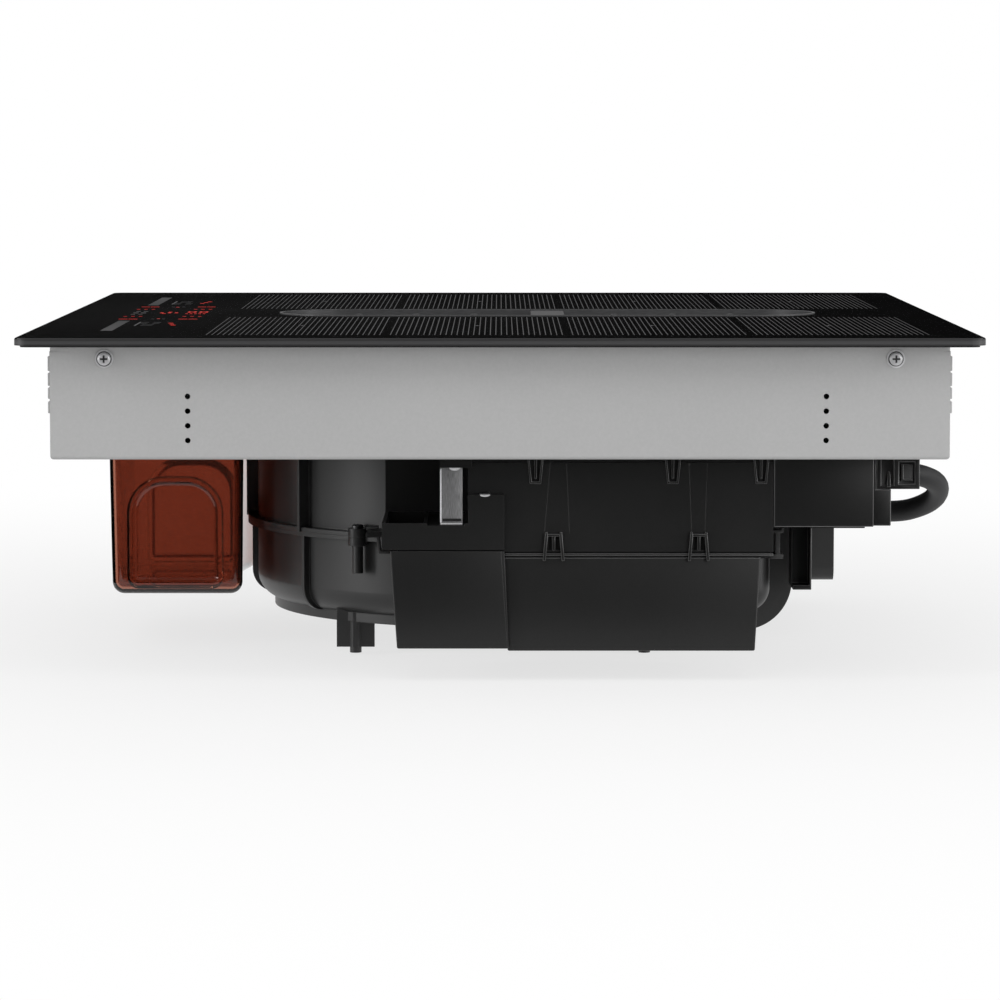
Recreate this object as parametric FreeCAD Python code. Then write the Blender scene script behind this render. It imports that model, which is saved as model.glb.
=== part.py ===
import FreeCAD, Part
import math
import os

# Drop-in induction hob with a built-in downdraft extractor, in millimetres.
# X runs along the wide side of the glass, Y from the front edge (controls) to the back, Z up.
# Z = 0 is the worktop that the rim of the glass rests on, X = Y = 0 is the middle of the glass.
# Wall, gap and step names hold thicknesses and clearances; every other place follows from them.

# Glass plate and the sealing tape under its rim
glass_depth = 520.0
glass_side_overhang = 19.0
glass_end_overhang = 17.5
glass_thick = 4.0
glass_corner_radius = 8.0
glass_bevel = 0.6
seal_thick = 1.0
seal_band = 8.0
seal_inset = 3.0

# Air inlet in the glass: a long stadium, a little behind the middle
vent_length = 323.0
vent_width = 80.0
vent_centre_y = 28.5
vent_cut_gap = 0.2
rim_wall = 1.6
rim_proud = 0.4
rim_drop = 7.0
rim_ledge = 5.0
rim_ledge_thick = 1.4
rim_foot = 9.0
rim_foot_thick = 1.2

# Lift-out grille in the inlet
grille_gap = 0.5
grille_ring = 3.0
grille_ring_height = 5.0
grille_strip_width = 50.0
grille_strip_end_gap = 10.0
grille_strip_thick = 2.4
grille_dish = 3.0
grille_rib_pitch = 34.6
grille_rib_thick = 3.0
grille_ribs_each_way = 3
grip_length = 20.0
grip_width = 56.0
grip_round = 3.0

# Casing tray of sheet steel, open towards the glass
casing_drop = 61.5
casing_sheet = 0.8
casing_bend_radius = 2.0
casing_lip = 9.0
corner_notch = 4.0

# Holes and louvres of the casing
side_hole_radius = 1.5
side_hole_count = 4
side_hole_top_drop = 27.3
side_hole_pitch = 7.93
side_hole_front_y = -168.3
side_hole_rear_y = 175.8
side_screw_y = 213.0
side_screw_drop = 7.0
louvre_rows = 4
louvre_columns = 9
louvre_top_drop = 7.0
louvre_pitch_z = 7.5
louvre_pitch_y = 44.0
louvre_length = 34.0
louvre_height = 2.6
rear_screw_x = 236.0
rear_screw_drop = 18.0

# Side screws, their washers and the brackets that they thread into
screw_shank_radius = 2.0
screw_shank_length = 8.0
screw_head_radius = 3.6
screw_head_height = 2.3
round_head_share = 0.6
screw_hole_gap = 0.2
screw_thread_gap = 0.05
washer_radius = 5.0
washer_thick = 0.8
cross_slot_length = 3.6
cross_slot_width = 0.9
cross_slot_depth = 1.2
bracket_width = 22.0
bracket_height = 16.0
bracket_thick = 3.0
bracket_leg = 14.0

# Air well under the inlet, its gasket and the liquid drain to the tank
well_gap = 1.0
well_wall = 2.0
well_flange = 9.0
well_gasket_thick = 2.0
inlet_length = 170.0
inlet_width = 54.0
inlet_collar_height = 12.0
inlet_collar_wall = 2.0
casing_inlet_gap = 2.0
drain_width = 26.0
drain_height = 13.0
drain_end_y = -201.0
drain_mouth_y = -189.0
nozzle_radius = 8.0
nozzle_wall = 1.6
nozzle_drop = 14.0
nozzle_hole_gap = 0.6

# Grease filter: a drop-in frame with a mesh floor
filter_gap = 3.0
filter_wall = 1.6
filter_height = 30.0
filter_lip = 2.0
filter_lip_thick = 1.5
mesh_thick = 1.2
mesh_hole_size = 7.0
mesh_hole_pitch = 10.0
filter_clearance = 0.3
filter_handle_width = 6.0
filter_handle_thick = 3.0
filter_handle_drop = 8.0

# Cooking zones: two columns of four rectangular coils
coil_vent_gap = 6.5
coil_side_gap = 19.5
zone_first_y = -112.25
zone_row_gap = 9.4
zones_per_side = 4
mica_thick = 0.5
mica_margin = 2.0
coil_length = 198.0
coil_depth = 90.0
coil_band = 26.0
coil_corner_radius = 40.0
coil_thick = 5.0
coil_groove = 1.4
coil_grooves = 5
former_thick = 3.0
ferrite_length = 26.0
ferrite_width = 11.0
ferrite_thick = 5.0
ferrite_columns = 5
ferrite_pitch = 34.0
sensor_radius = 6.0
sensor_gap = 0.4
coil_tray_thick = 1.5
coil_tray_side_margin = 7.0
coil_tray_margin = 4.0
post_radius = 6.0
spring_height = 7.0
spring_span = 36.0
spring_width = 10.0
spring_sheet = 0.7
spring_gap = 0.3
post_inset = 26.0

# Touch control under the front of the glass
touch_width = 262.0
touch_depth = 46.0
touch_centre_y = -200.0
touch_board_thick = 1.6
touch_holder_wall = 2.0
touch_holder_height = 10.0
touch_holder_gap = 0.6
display_height = 5.0
display_centre_xs = (-79.0, -43.0, 0.0, 43.0, 79.0)
display_width = 26.0
display_depth = 30.0
display_top_gap = 0.3

# Power boards in the casing with their parts, and two cooling fans
board_width = 196.0
board_depth = 280.0
board_thick = 1.6
board_centre_y = 62.0
standoff_height = 6.0
standoff_radius = 4.0
standoff_inset = 10.0
sink_width = 62.0
sink_depth = 150.0
sink_height = 27.0
sink_base = 5.0
sink_fin_thick = 1.6
sink_fins = 9
capacitor_radius = 11.0
capacitor_height = 26.0
choke_radius = 15.0
choke_wire_radius = 5.0
fan_size = 80.0
fan_height = 24.0
fan_wall = 2.0
fan_duct_radius = 37.5
fan_centre_y = -182.0
fan_hub_radius = 15.0
fan_tip_gap = 1.5
fan_blades = 7
fan_blade_thick = 1.6
fan_blade_height = 16.0
fan_blade_pitch_angle = 38.0
fan_pin_radius = 1.5
fan_running_gap = 0.05
fan_strut_width = 5.0
intake_slots = 7
intake_slot_width = 4.0
intake_slot_pitch = 9.0
intake_slot_length = 56.0

# Blower scroll: its wall is four quarter arcs about the corners of a small square
scroll_reach = 156.0
scroll_step = 10.0
scroll_wall = 2.5
scroll_gasket = 2.0
scroll_height = 100.5
scroll_corner_radius = 14.0
throat_width = 78.0
throat_end_y = 134.0
tongue_radius = 8.0
seam_drop = 117.2
seam_flange = 6.0
seam_flange_thick = 2.5
fin_reach = 7.4
fin_lower_reach = 4.0
fin_thick = 2.4
fin_angles = (144.0, 186.0, 228.0, 270.0, 312.0)
boss_angles = (106.0, 150.0, 203.0, 252.0, 329.0)
boss_radius = 5.5
boss_height = 10.0
boss_post_radius = 3.1
boss_post_length = 16.0
boss_screw_radius = 1.6
boss_screw_head_radius = 3.4
boss_screw_head_height = 2.2
boss_screw_depth = 16.0
rim_ring_inset = 10.0
rim_ring_wall = 3.0
rim_ring_height = 5.0
foot_angles = (217.5, 322.5)
foot_inset = 14.0
foot_height = 18.3
foot_wing_height = 15.0
foot_wing_span = 22.0
foot_wing_thick = 3.0
foot_post_radius = 3.4

# Impeller and its external rotor motor
inlet_ring_radius = 86.0
inlet_ring_wall = 2.0
inlet_ring_flange = 8.0
inlet_ring_drop = 14.0
impeller_radius = 107.0
impeller_eye_radius = 90.0
impeller_height = 64.0
impeller_plate_thick = 2.0
impeller_blades = 36
impeller_blade_thick = 1.2
impeller_lean = 14.0
impeller_top_gap = 2.0
impeller_shroud_width = 8.0
rotor_radius = 46.0
rotor_wall = 2.5
rotor_height = 38.0
collar_wall = 2.5
collar_height = 20.0
hub_press_gap = 0.05
air_gap = 0.8
stator_height = 27.0
stator_slots = 12
stator_slot_width = 6.0
stator_slot_depth = 16.0
shaft_radius = 4.0
running_gap = 0.05
bearing_radius = 8.0
bearing_length = 7.0
bearing_tube_wall = 2.0
motor_plate_radius = 52.0
motor_plate_thick = 3.0
bush_radius = 6.0
bush_height = 6.0
bush_circle_radius = 43.0
bush_count = 3

# Outlet duct behind the scroll: two half shells joined at an upright flange
duct_left_x = -200.0
duct_right_x = 150.0
duct_split_x = 98.0
duct_wall = 2.2
duct_back_y = 154.6
duct_drop = 160.0
duct_top_drop = 64.0
duct_corner_radius = 14.0
duct_end_radius = 12.0
duct_flange = 15.5
duct_flange_thick = 2.5

# Exhaust spigot for flat duct
spigot_width = 222.0
spigot_height = 89.0
spigot_right_x = 25.0
spigot_top_drop = 66.0
spigot_corner_radius = 8.0
spigot_wall = 2.0
spigot_collar_end_y = 187.0
spigot_rib_thick = 1.6
spigot_rib_reach = 4.0
spigot_end_y = 200.5

# Boxes on the right side, under the casing
box_face_x = 235.0
tray_proud = 3.0
box_back_x = 164.0
box_wall = 2.0
control_front_y = 1.6
control_back_y = 150.2
control_seam_drop = 115.8
control_lip_height = 2.7
control_lip_reach = 1.2
control_drop = 170.0
control_draft = 2.8
control_front_inset = 0.6
control_back_inset = 8.2
control_corner_radius = 3.5
small_box_front_y = -60.5
small_box_draft = 3.7
small_box_drop = 168.8
box_joint_gap = 0.4
tray_front_y = -64.9
tray_top_drop = 99.7
tray_seam_drop = 114.4
tray_pocket_end_y = -42.0
tray_pocket_depth = 10.0
tray_plateau_depth = 1.2
step_front_y = -17.6
step_top_drop = 83.7
overhang_gap = 1.8
ear_reach = 10.0
ear_thick = 3.0
channel_back_y = 206.8
channel_drop = 101.9
end_box_back_y = 215.0
end_box_drop = 101.4
hood_back_y = 230.6
hood_back_x = 205.0
hood_drop = 81.0
hood_wall = 1.2
hood_lip = 4.0
hood_windows = 2
hood_window_width = 9.0
hood_window_height = 11.0
junction_left_x = 132.0
junction_front_y = 176.0
junction_drop = 109.5
junction_floor_thick = 1.0

# Snap latches of the control box
latch_width = 8.0
latch_depth = 2.2
upper_latch_length = 13.0
upper_latch_ys = (19.5, 95.0, 143.5)
lower_latch_ys = (29.5, 109.3)
lower_latch_rise = 10.0
lower_latch_leg = 1.6
lower_latch_leg_drop = 4.4
lower_latch_proud = 1.4

# Steel strap that hangs the tray from the casing, with its screws
strap_left_y = -32.9
strap_width = 12.3
strap_thick = 1.2
strap_foot = 14.0
strap_head = 12.0
strap_screw_radius = 1.7
strap_screw_head_radius = 3.2
strap_screw_head_height = 1.8
strap_screw_length = 5.0
strap_head_screw_length = 3.0
tab_height = 7.5
dome_radius = 4.0
dome_height = 1.6

# Electronics in the boxes
driver_board_rise = 8.0
driver_board_margin = 5.0
transformer_size = 34.0
transformer_height = 26.0
terminal_width = 40.0
terminal_depth = 14.0
terminal_height = 18.0
terminal_gap = 0.3

# Power lead: its route from the cable channel round to the junction box, points chosen by hand
lead_radius = 6.0
lead_route = [
    (224.5, 188.5, -72.5),
    (224.5, 221.3, -71.6),
    (202.5, 245.6, -79.2),
    (171.6, 245.6, -94.0),
    (149.5, 221.3, -103.6),
    (149.5, 188.5, -97.2),
]
lead_arc_share = 0.45
gland_wall = 1.2
gland_lip = 0.3
gland_seat_gap = 1.7
gland_gap = 0.3
gland_front = 3.0
gland_back = 3.0

# Liquid tank hung under the front of the casing, and its collar
tank_half_length = 75.0
tank_front_y = -230.1
tank_back_y = -149.7
tank_back_hollow = 7.3
tank_drop = 157.7
tank_draft = 1.3
tank_wall = 3.0
tank_floor = 3.5
tank_corner_radius = 7.0
tank_mouth_margin = 9.0
grip_front_share = 0.168
grip_back_share = 0.796
grip_top_drop = 91.0
grip_bottom_drop = 150.7
grip_depth = 9.0
grip_arch_radius = 12.0
collar_drop = 4.0
collar_gap = 0.6
tank_top_gap = 0.3

# One overrun for all cuts, and how near counts as the same place
over = 1.0
same_place = 0.001

# Places that several pieces share
zone_centre_x = vent_width / 2 + well_gap + well_wall + well_flange + coil_vent_gap + coil_length / 2
zone_pitch = coil_depth + zone_row_gap
coil_tray_width = coil_length + 2 * coil_tray_side_margin
casing_width = 2 * (zone_centre_x + coil_length / 2 + coil_side_gap)
casing_depth = glass_depth - 2 * glass_end_overhang
glass_width = casing_width + 2 * glass_side_overhang
tray_face_x = box_face_x + tray_proud
tub_back_y = control_back_y - control_back_inset
strap_face_x = box_face_x - box_joint_gap
glass_base = seal_thick
glass_top = glass_base + glass_thick
casing_floor = -casing_drop + casing_sheet
well_flange_top = glass_base - rim_foot_thick - well_gasket_thick
scroll_top = -casing_drop - scroll_gasket
scroll_base = scroll_top - scroll_height
scroll_floor = scroll_base + scroll_wall


def point(x, y, z=0):
    return FreeCAD.Vector(x, y, z)


def block(x0, x1, y0, y1, z0, z1):
    return Part.makeBox(x1 - x0, y1 - y0, z1 - z0, point(x0, y0, z0))


def pillar(radius, z0, z1, x=0, y=0):
    return Part.makeCylinder(radius, z1 - z0, point(x, y, z0))


def rod(radius, start, direction, length):
    return Part.makeCylinder(radius, length, point(*start), point(*direction))


def ring(outer_radius, inner_radius, z0, z1, x=0, y=0):
    return pillar(outer_radius, z0, z1, x, y).cut(pillar(inner_radius, z0 - over, z1 + over, x, y))


def fused(shapes):
    shapes = list(shapes)
    return shapes[0].multiFuse(shapes[1:]).removeSplitter() if len(shapes) > 1 else shapes[0]


def moved(shape, x=0, y=0, z=0):
    shape = shape.copy()
    shape.translate(point(x, y, z))
    return shape


def mirrored_x(shape):
    return shape.mirror(point(0, 0), point(1, 0))


def rounded_outline(x0, x1, y0, y1, radius, z=0):
    """Closed wire of a rectangle with round corners, in the plane Z = z."""
    half = math.sqrt(0.5) * radius
    corners = [(x1, y0, 1, -1), (x1, y1, 1, 1), (x0, y1, -1, 1), (x0, y0, -1, -1)]
    starts_along_y = [False, True, False, True]
    edges = []
    for (x, y, sx, sy), along_y in zip(corners, starts_along_y):
        cx = x - sx * radius
        cy = y - sy * radius
        side = point(x, cy, z)
        cap = point(cx, y, z)
        start, end = (side, cap) if along_y else (cap, side)
        edges.append(Part.Arc(start, point(cx + sx * half, cy + sy * half, z), end).toShape())
    outline = []
    for here, after in zip(edges, edges[1:] + edges[:1]):
        outline.append(here)
        outline.append(Part.makeLine(here.Vertexes[-1].Point, after.Vertexes[0].Point))
    return Part.Wire(outline)


def rounded_slab(x0, x1, y0, y1, z0, z1, radius):
    return Part.Face(rounded_outline(x0, x1, y0, y1, radius, z0)).extrude(point(0, 0, z1 - z0))


def tapered_slab(top_box, bottom_box, z_top, z_bottom, radius):
    """Solid between two round-cornered rectangles, each given as x0, x1, y0, y1."""
    top = rounded_outline(*top_box, radius, z_top)
    bottom = rounded_outline(*bottom_box, radius, z_bottom)
    return Part.makeLoft([bottom, top], True, True)


def stadium_wire(width, length, z, centre_y):
    """Slot outline with round ends, long along Y."""
    r = width / 2
    straight = length / 2 - r
    y0 = centre_y - straight
    y1 = centre_y + straight
    return Part.Wire([
        Part.makeLine(point(r, y0, z), point(r, y1, z)),
        Part.Arc(point(r, y1, z), point(0, y1 + r, z), point(-r, y1, z)).toShape(),
        Part.makeLine(point(-r, y1, z), point(-r, y0, z)),
        Part.Arc(point(-r, y0, z), point(0, y0 - r, z), point(r, y0, z)).toShape(),
    ])


def stadium(width, length, z0, z1, centre_y=vent_centre_y):
    return Part.Face(stadium_wire(width, length, z0, centre_y)).extrude(point(0, 0, z1 - z0))


def stadium_ring(width, length, wall, z0, z1, centre_y=vent_centre_y):
    """Upright stadium wall; width and length are its outer sizes."""
    outer = stadium(width, length, z0, z1, centre_y)
    return outer.cut(stadium(width - 2 * wall, length - 2 * wall, z0 - over, z1 + over, centre_y))


def edges_at(shape, z):
    """Edges that lie flat at one height."""
    return [e for e in shape.Edges
            if abs(e.BoundBox.ZMin - z) < same_place and abs(e.BoundBox.ZMax - z) < same_place]


def save(name, *shapes):
    """One file per sub-part; identical pieces share a file as separate solids."""
    solids = []
    for shape in shapes:
        solids.extend(shape.Solids)
    whole = solids[0] if len(solids) == 1 else Part.makeCompound(solids)
    if not all(s.isValid() for s in solids):
        print("not valid:", name)
    whole.exportStep("parts/" + name + ".step")
    print(f"{name}: {len(solids)} solids, {sum(s.Volume for s in solids) / 1000:.1f} cm3")


def glass_top_plate():
    x = glass_width / 2
    y = glass_depth / 2
    plate = rounded_slab(-x, x, -y, y, glass_base, glass_top, glass_corner_radius)
    plate = plate.makeChamfer(glass_bevel, edges_at(plate, glass_top))
    cut_width = vent_width + 2 * vent_cut_gap
    cut_length = vent_length + 2 * vent_cut_gap
    return plate.cut(stadium(cut_width, cut_length, glass_base - over, glass_top + over))


def edge_seal():
    x = glass_width / 2 - seal_inset
    y = glass_depth / 2 - seal_inset
    outer_radius = glass_corner_radius - seal_inset
    outer = rounded_slab(-x, x, -y, y, 0, seal_thick, outer_radius)
    inner = block(-x + seal_band, x - seal_band, -y + seal_band, y - seal_band, -over, seal_thick + over)
    return outer.cut(inner)


def vent_rim():
    """Thin metal ring round the cut-out, with a foot under the glass and a ledge for the grille."""
    bottom = glass_base - rim_drop
    wall = stadium_ring(vent_width, vent_length, rim_wall, bottom, glass_top + rim_proud)
    foot = stadium_ring(vent_width + 2 * rim_foot, vent_length + 2 * rim_foot, rim_foot + rim_wall,
                        glass_base - rim_foot_thick, glass_base)
    ledge = stadium_ring(vent_width, vent_length, rim_wall + rim_ledge, bottom, bottom + rim_ledge_thick)
    return fused([wall, foot, ledge])


def grille_ring_size():
    """Outer width and length of the grille's ring."""
    inset = 2 * (rim_wall + grille_gap)
    return vent_width - inset, vent_length - inset


def vent_grille():
    """Boat-shaped insert: outer ring, dished middle strip, cross ribs and a centre grip block."""
    width, length = grille_ring_size()
    base = glass_base - rim_drop + rim_ledge_thick
    top = base + grille_ring_height
    outer = stadium_ring(width, length, grille_ring, base, top)
    strip_length = length - 2 * grille_strip_end_gap
    strip_top = top - grille_dish + grille_strip_thick
    strip = stadium(grille_strip_width, strip_length, top - grille_dish, strip_top)
    hollow_width = grille_strip_width - 2 * grille_ring
    hollow_length = strip_length - 2 * grille_ring
    hollow = stadium(hollow_width, hollow_length, strip_top - grille_strip_thick / 2, strip_top + over)
    strip = strip.cut(hollow)
    half = width / 2 - grille_ring / 2
    ribs = []
    for n in range(-grille_ribs_each_way, grille_ribs_each_way + 1):
        y = vent_centre_y + n * grille_rib_pitch
        ribs.append(block(-half, half, y - grille_rib_thick / 2, y + grille_rib_thick / 2, base, strip_top))
    end = length / 2 - grille_ring / 2
    ribs.append(block(-grille_rib_thick / 2, grille_rib_thick / 2,
                      vent_centre_y - end, vent_centre_y + end, base, strip_top - grille_strip_thick / 2))
    grip = rounded_slab(-grip_width / 2, grip_width / 2, vent_centre_y - grip_length / 2,
                        vent_centre_y + grip_length / 2, base, glass_top, grip_round)
    return fused([outer, strip, grip] + ribs)


def well_size():
    """Outer width and length of the air well's wall."""
    grow = 2 * (well_gap + well_wall)
    return vent_width + grow, vent_length + grow


def well_gasket():
    width, length = well_size()
    band = well_wall + well_flange
    return stadium_ring(width + 2 * well_flange, length + 2 * well_flange, band,
                        well_flange_top, glass_base - rim_foot_thick)


def air_well():
    """Trough from the glass to the casing floor, with a raised inlet collar and a drain to the front."""
    width, length = well_size()
    wall = stadium_ring(width, length, well_wall, casing_floor, well_flange_top)
    flange = stadium_ring(width + 2 * well_flange, length + 2 * well_flange, well_flange + well_wall,
                          well_flange_top - well_wall, well_flange_top)
    floor_top = casing_floor + well_wall
    floor = stadium(width, length, casing_floor, floor_top)
    collar_top = floor_top + inlet_collar_height
    collar = stadium(inlet_width + 2 * inlet_collar_wall, inlet_length + 2 * inlet_collar_wall,
                     casing_floor, collar_top, 0)
    front = vent_centre_y - length / 2
    half = drain_width / 2
    drain_top = casing_floor + drain_height
    drain = block(-half, half, drain_end_y, front + width / 2, casing_floor, drain_top)
    nozzle_bottom = -casing_drop - nozzle_drop
    nozzle = pillar(nozzle_radius, nozzle_bottom, floor_top, 0, drain_mouth_y)
    trough = fused([wall, flange, floor, collar])
    room = stadium(width - 2 * well_wall, length - 2 * well_wall, floor_top, well_flange_top)
    drain = drain.cut(room)
    body = fused([trough, drain, nozzle])
    inlet = stadium(inlet_width, inlet_length, casing_floor - over, collar_top + over, 0)
    race = block(-half + well_wall, half - well_wall, drain_end_y + well_wall, front + 2 * well_wall,
                 floor_top, drain_top - well_wall)
    bore = pillar(nozzle_radius - nozzle_wall, nozzle_bottom - over, floor_top + over, 0, drain_mouth_y)
    return body.cut(inlet).cut(race).cut(bore)


def filter_size():
    """Outer width and length of the grease filter frame."""
    inset = 2 * (rim_wall + rim_ledge + filter_gap)
    return vent_width - inset, vent_length - inset


def filter_base():
    return casing_floor + well_wall + inlet_collar_height + filter_clearance


def grease_filter_frame():
    """Stadium basket that stands on the inlet collar, with a bar handle across the middle."""
    width, length = filter_size()
    base = filter_base()
    top = base + filter_height
    wall = stadium_ring(width, length, filter_wall, base, top)
    lip = stadium_ring(width, length, filter_wall + filter_lip, base, base + filter_lip_thick)
    half = width / 2 - filter_wall / 2
    handle = block(-half, half, vent_centre_y - filter_handle_width / 2,
                   vent_centre_y + filter_handle_width / 2, top - filter_handle_drop,
                   top - filter_handle_drop + filter_handle_thick)
    return fused([wall, lip, handle])


def grease_filter_mesh():
    """Perforated floor sheet that lies on the frame's lip."""
    width, length = filter_size()
    gap = 2 * (filter_wall + screw_hole_gap)
    base = filter_base() + filter_lip_thick
    sheet = stadium(width - gap, length - gap, base, base + mesh_thick)
    inner_width = width - 2 * filter_wall - 2 * filter_lip
    inner_length = length - 2 * filter_wall - 2 * filter_lip
    columns = int(inner_width / mesh_hole_pitch)
    rows = int((inner_length - inner_width / 2) / mesh_hole_pitch)
    holes = []
    for i in range(columns):
        for j in range(rows):
            x = (i - (columns - 1) / 2) * mesh_hole_pitch
            y = vent_centre_y + (j - (rows - 1) / 2) * mesh_hole_pitch
            half = mesh_hole_size / 2
            holes.append(block(x - half, x + half, y - half, y + half, base - over, base + mesh_thick + over))
    return sheet.cut(Part.makeCompound(holes))


def screw(shank_radius, shank_length, head_radius, head_height, slot=True):
    """Pan-head screw along -Z: the head's seat is at Z = 0 and the head stands above it."""
    shank = pillar(shank_radius, -shank_length, 0)
    head = pillar(head_radius, 0, head_height)
    head = head.makeFillet(head_height * round_head_share, edges_at(head, head_height))
    body = head.fuse(shank).removeSplitter()
    if slot:
        share = head_radius / screw_head_radius
        length = cross_slot_length * share / 2
        width = cross_slot_width * share / 2
        depth = head_height - cross_slot_depth * share
        body = body.cut(block(-length, length, -width, width, depth, head_height + over))
        body = body.cut(block(-width, width, -length, length, depth, head_height + over))
    return body


def turned(shape, axis, degrees):
    shape = shape.copy()
    shape.rotate(point(0, 0), axis, degrees)
    return shape


def side_screw_places():
    return [(side, y) for side in (-1, 1) for y in (-side_screw_y, side_screw_y)]


def side_fasteners():
    """The four side screws with captive washers, and the brackets inside that they thread into."""
    plain = screw(screw_shank_radius, screw_shank_length, screw_head_radius, screw_head_height)
    seat = pillar(washer_radius, 0, washer_thick)
    shank = pillar(screw_shank_radius, -screw_thread_gap, over)
    one = turned(moved(plain, 0, 0, washer_thick).fuse(seat).fuse(shank).removeSplitter(), point(0, 1), 90)
    face = casing_width / 2
    inner = face - casing_sheet
    plate = block(inner - bracket_thick, inner, -bracket_width / 2, bracket_width / 2,
                  -bracket_height, glass_base - casing_sheet)
    leg = block(inner - bracket_leg, inner - bracket_thick, -bracket_width / 2, bracket_width / 2,
                glass_base - casing_sheet - bracket_thick, glass_base - casing_sheet)
    hole = rod(screw_shank_radius + screw_thread_gap, (inner - bracket_leg, 0, -side_screw_drop), (1, 0, 0),
               bracket_leg + over)
    bracket = plate.fuse(leg).removeSplitter().cut(hole)
    screws = []
    brackets = []
    for side, y in side_screw_places():
        for piece, into, x, z in (
            (one, screws, face, -side_screw_drop),
            (bracket, brackets, 0, 0),
        ):
            placed = moved(piece, x, 0, z)
            if side < 0:
                placed = mirrored_x(placed)
            into.append(moved(placed, 0, y))
    return screws, brackets


def rear_screws():
    """Two sheet-metal screws in the back of the casing."""
    one = turned(screw(screw_shank_radius, screw_shank_length, screw_head_radius, screw_head_height),
                 point(1, 0), -90)
    return [moved(one, x, casing_depth / 2, -rear_screw_drop) for x in (-rear_screw_x, rear_screw_x)]


def casing_tray():
    """Open sheet-steel tray with an inward lip under the glass, louvres, hole rows and floor openings."""
    x = casing_width / 2
    y = casing_depth / 2
    t = casing_sheet
    body = block(-x, x, -y, y, -casing_drop, glass_base)
    body = body.makeFillet(casing_bend_radius, edges_at(body, -casing_drop))
    room = block(-x + t, x - t, -y + t, y - t, casing_floor, glass_base + over)
    room = room.makeFillet(casing_bend_radius - t, edges_at(room, casing_floor))
    body = body.cut(room)
    lip_outer = block(-x + t / 2, x - t / 2, -y + t / 2, y - t / 2, glass_base - t, glass_base)
    lip_inner = block(-x + casing_lip, x - casing_lip, -y + casing_lip, y - casing_lip,
                      glass_base - t - over, glass_base + over)
    body = body.fuse(lip_outer.cut(lip_inner)).removeSplitter()
    cuts = []
    for sx in (-1, 1):
        for sy in (-1, 1):
            cx = sx * x
            cy = sy * y
            cuts.append(block(cx - corner_notch, cx + corner_notch, cy - corner_notch, cy + corner_notch,
                              glass_base - corner_notch, glass_base + over))
    for row_y in (side_hole_front_y, side_hole_rear_y):
        for n in range(side_hole_count):
            z = -side_hole_top_drop - n * side_hole_pitch
            cuts.append(rod(side_hole_radius, (-x - over, row_y, z), (1, 0, 0), casing_width + 2 * over))
    for y_screw in (-side_screw_y, side_screw_y):
        cuts.append(rod(screw_shank_radius + screw_hole_gap, (-x - over, y_screw, -side_screw_drop),
                        (1, 0, 0), casing_width + 2 * over))
    for x_screw in (-rear_screw_x, rear_screw_x):
        cuts.append(rod(screw_shank_radius + screw_thread_gap, (x_screw, y - t - over, -rear_screw_drop),
                        (0, 1, 0), t + 2 * over))
    for column in range(louvre_columns):
        cx = (column - (louvre_columns - 1) / 2) * louvre_pitch_y
        for row in range(louvre_rows):
            z = -louvre_top_drop - row * louvre_pitch_z
            cuts.append(block(cx - louvre_length / 2, cx + louvre_length / 2, -y - over, y + over,
                              z - louvre_height, z))
    for side in (-1, 1):
        for n in range(intake_slots):
            cx = side * zone_centre_x + (n - (intake_slots - 1) / 2) * intake_slot_pitch
            cuts.append(block(cx - intake_slot_width / 2, cx + intake_slot_width / 2,
                              fan_centre_y - intake_slot_length / 2, fan_centre_y + intake_slot_length / 2,
                              -casing_drop - over, casing_floor + over))
    body = body.cut(Part.makeCompound(cuts))
    inlet = stadium(inlet_width + 2 * casing_inlet_gap, inlet_length + 2 * casing_inlet_gap,
                    -casing_drop - over, casing_floor + over, 0)
    nozzle = pillar(nozzle_radius + nozzle_hole_gap, -casing_drop - over, casing_floor + over,
                    0, drain_mouth_y)
    strap_hole = pillar(strap_screw_radius + screw_thread_gap, -casing_drop - over, casing_floor + over,
                        *strap_head_place())
    return body.cut(inlet).cut(nozzle).cut(strap_hole)


def zone_places():
    return [(side * zone_centre_x, zone_first_y + n * zone_pitch)
            for side in (-1, 1) for n in range(zones_per_side)]


def winding_heights():
    top = glass_base - mica_thick
    return top - coil_thick, top


def coil_windings():
    """Flat racetrack windings; shallow grooves part the turns on top."""
    z0, z1 = winding_heights()
    coils = []
    for x, y in zone_places():
        half_x = coil_length / 2
        half_y = coil_depth / 2
        outer = rounded_slab(x - half_x, x + half_x, y - half_y, y + half_y, z0, z1, coil_corner_radius)
        inner = rounded_slab(x - half_x + coil_band, x + half_x - coil_band, y - half_y + coil_band,
                             y + half_y - coil_band, z0 - over, z1 + over, coil_corner_radius - coil_band)
        body = outer.cut(inner)
        pitch = coil_band / (coil_grooves + 1)
        for n in range(coil_grooves):
            a = (n + 1) * pitch - coil_groove / 2
            b = a + coil_groove
            big = rounded_slab(x - half_x + a, x + half_x - a, y - half_y + a, y + half_y - a,
                               z1 - coil_groove, z1 + over, coil_corner_radius - a)
            small = rounded_slab(x - half_x + b, x + half_x - b, y - half_y + b, y + half_y - b,
                                 z1 - coil_groove - over, z1 + 2 * over, coil_corner_radius - b)
            body = body.cut(big.cut(small))
        coils.append(body)
    return coils


def coil_formers():
    z1 = winding_heights()[0]
    plates = []
    for x, y in zone_places():
        plate = rounded_slab(x - coil_length / 2, x + coil_length / 2, y - coil_depth / 2, y + coil_depth / 2,
                             z1 - former_thick, z1, coil_corner_radius)
        hole = pillar(sensor_radius + sensor_gap, z1 - former_thick - over, z1 + over, x, y)
        plates.append(plate.cut(hole))
    return plates


def ferrite_top():
    return winding_heights()[0] - former_thick


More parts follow.
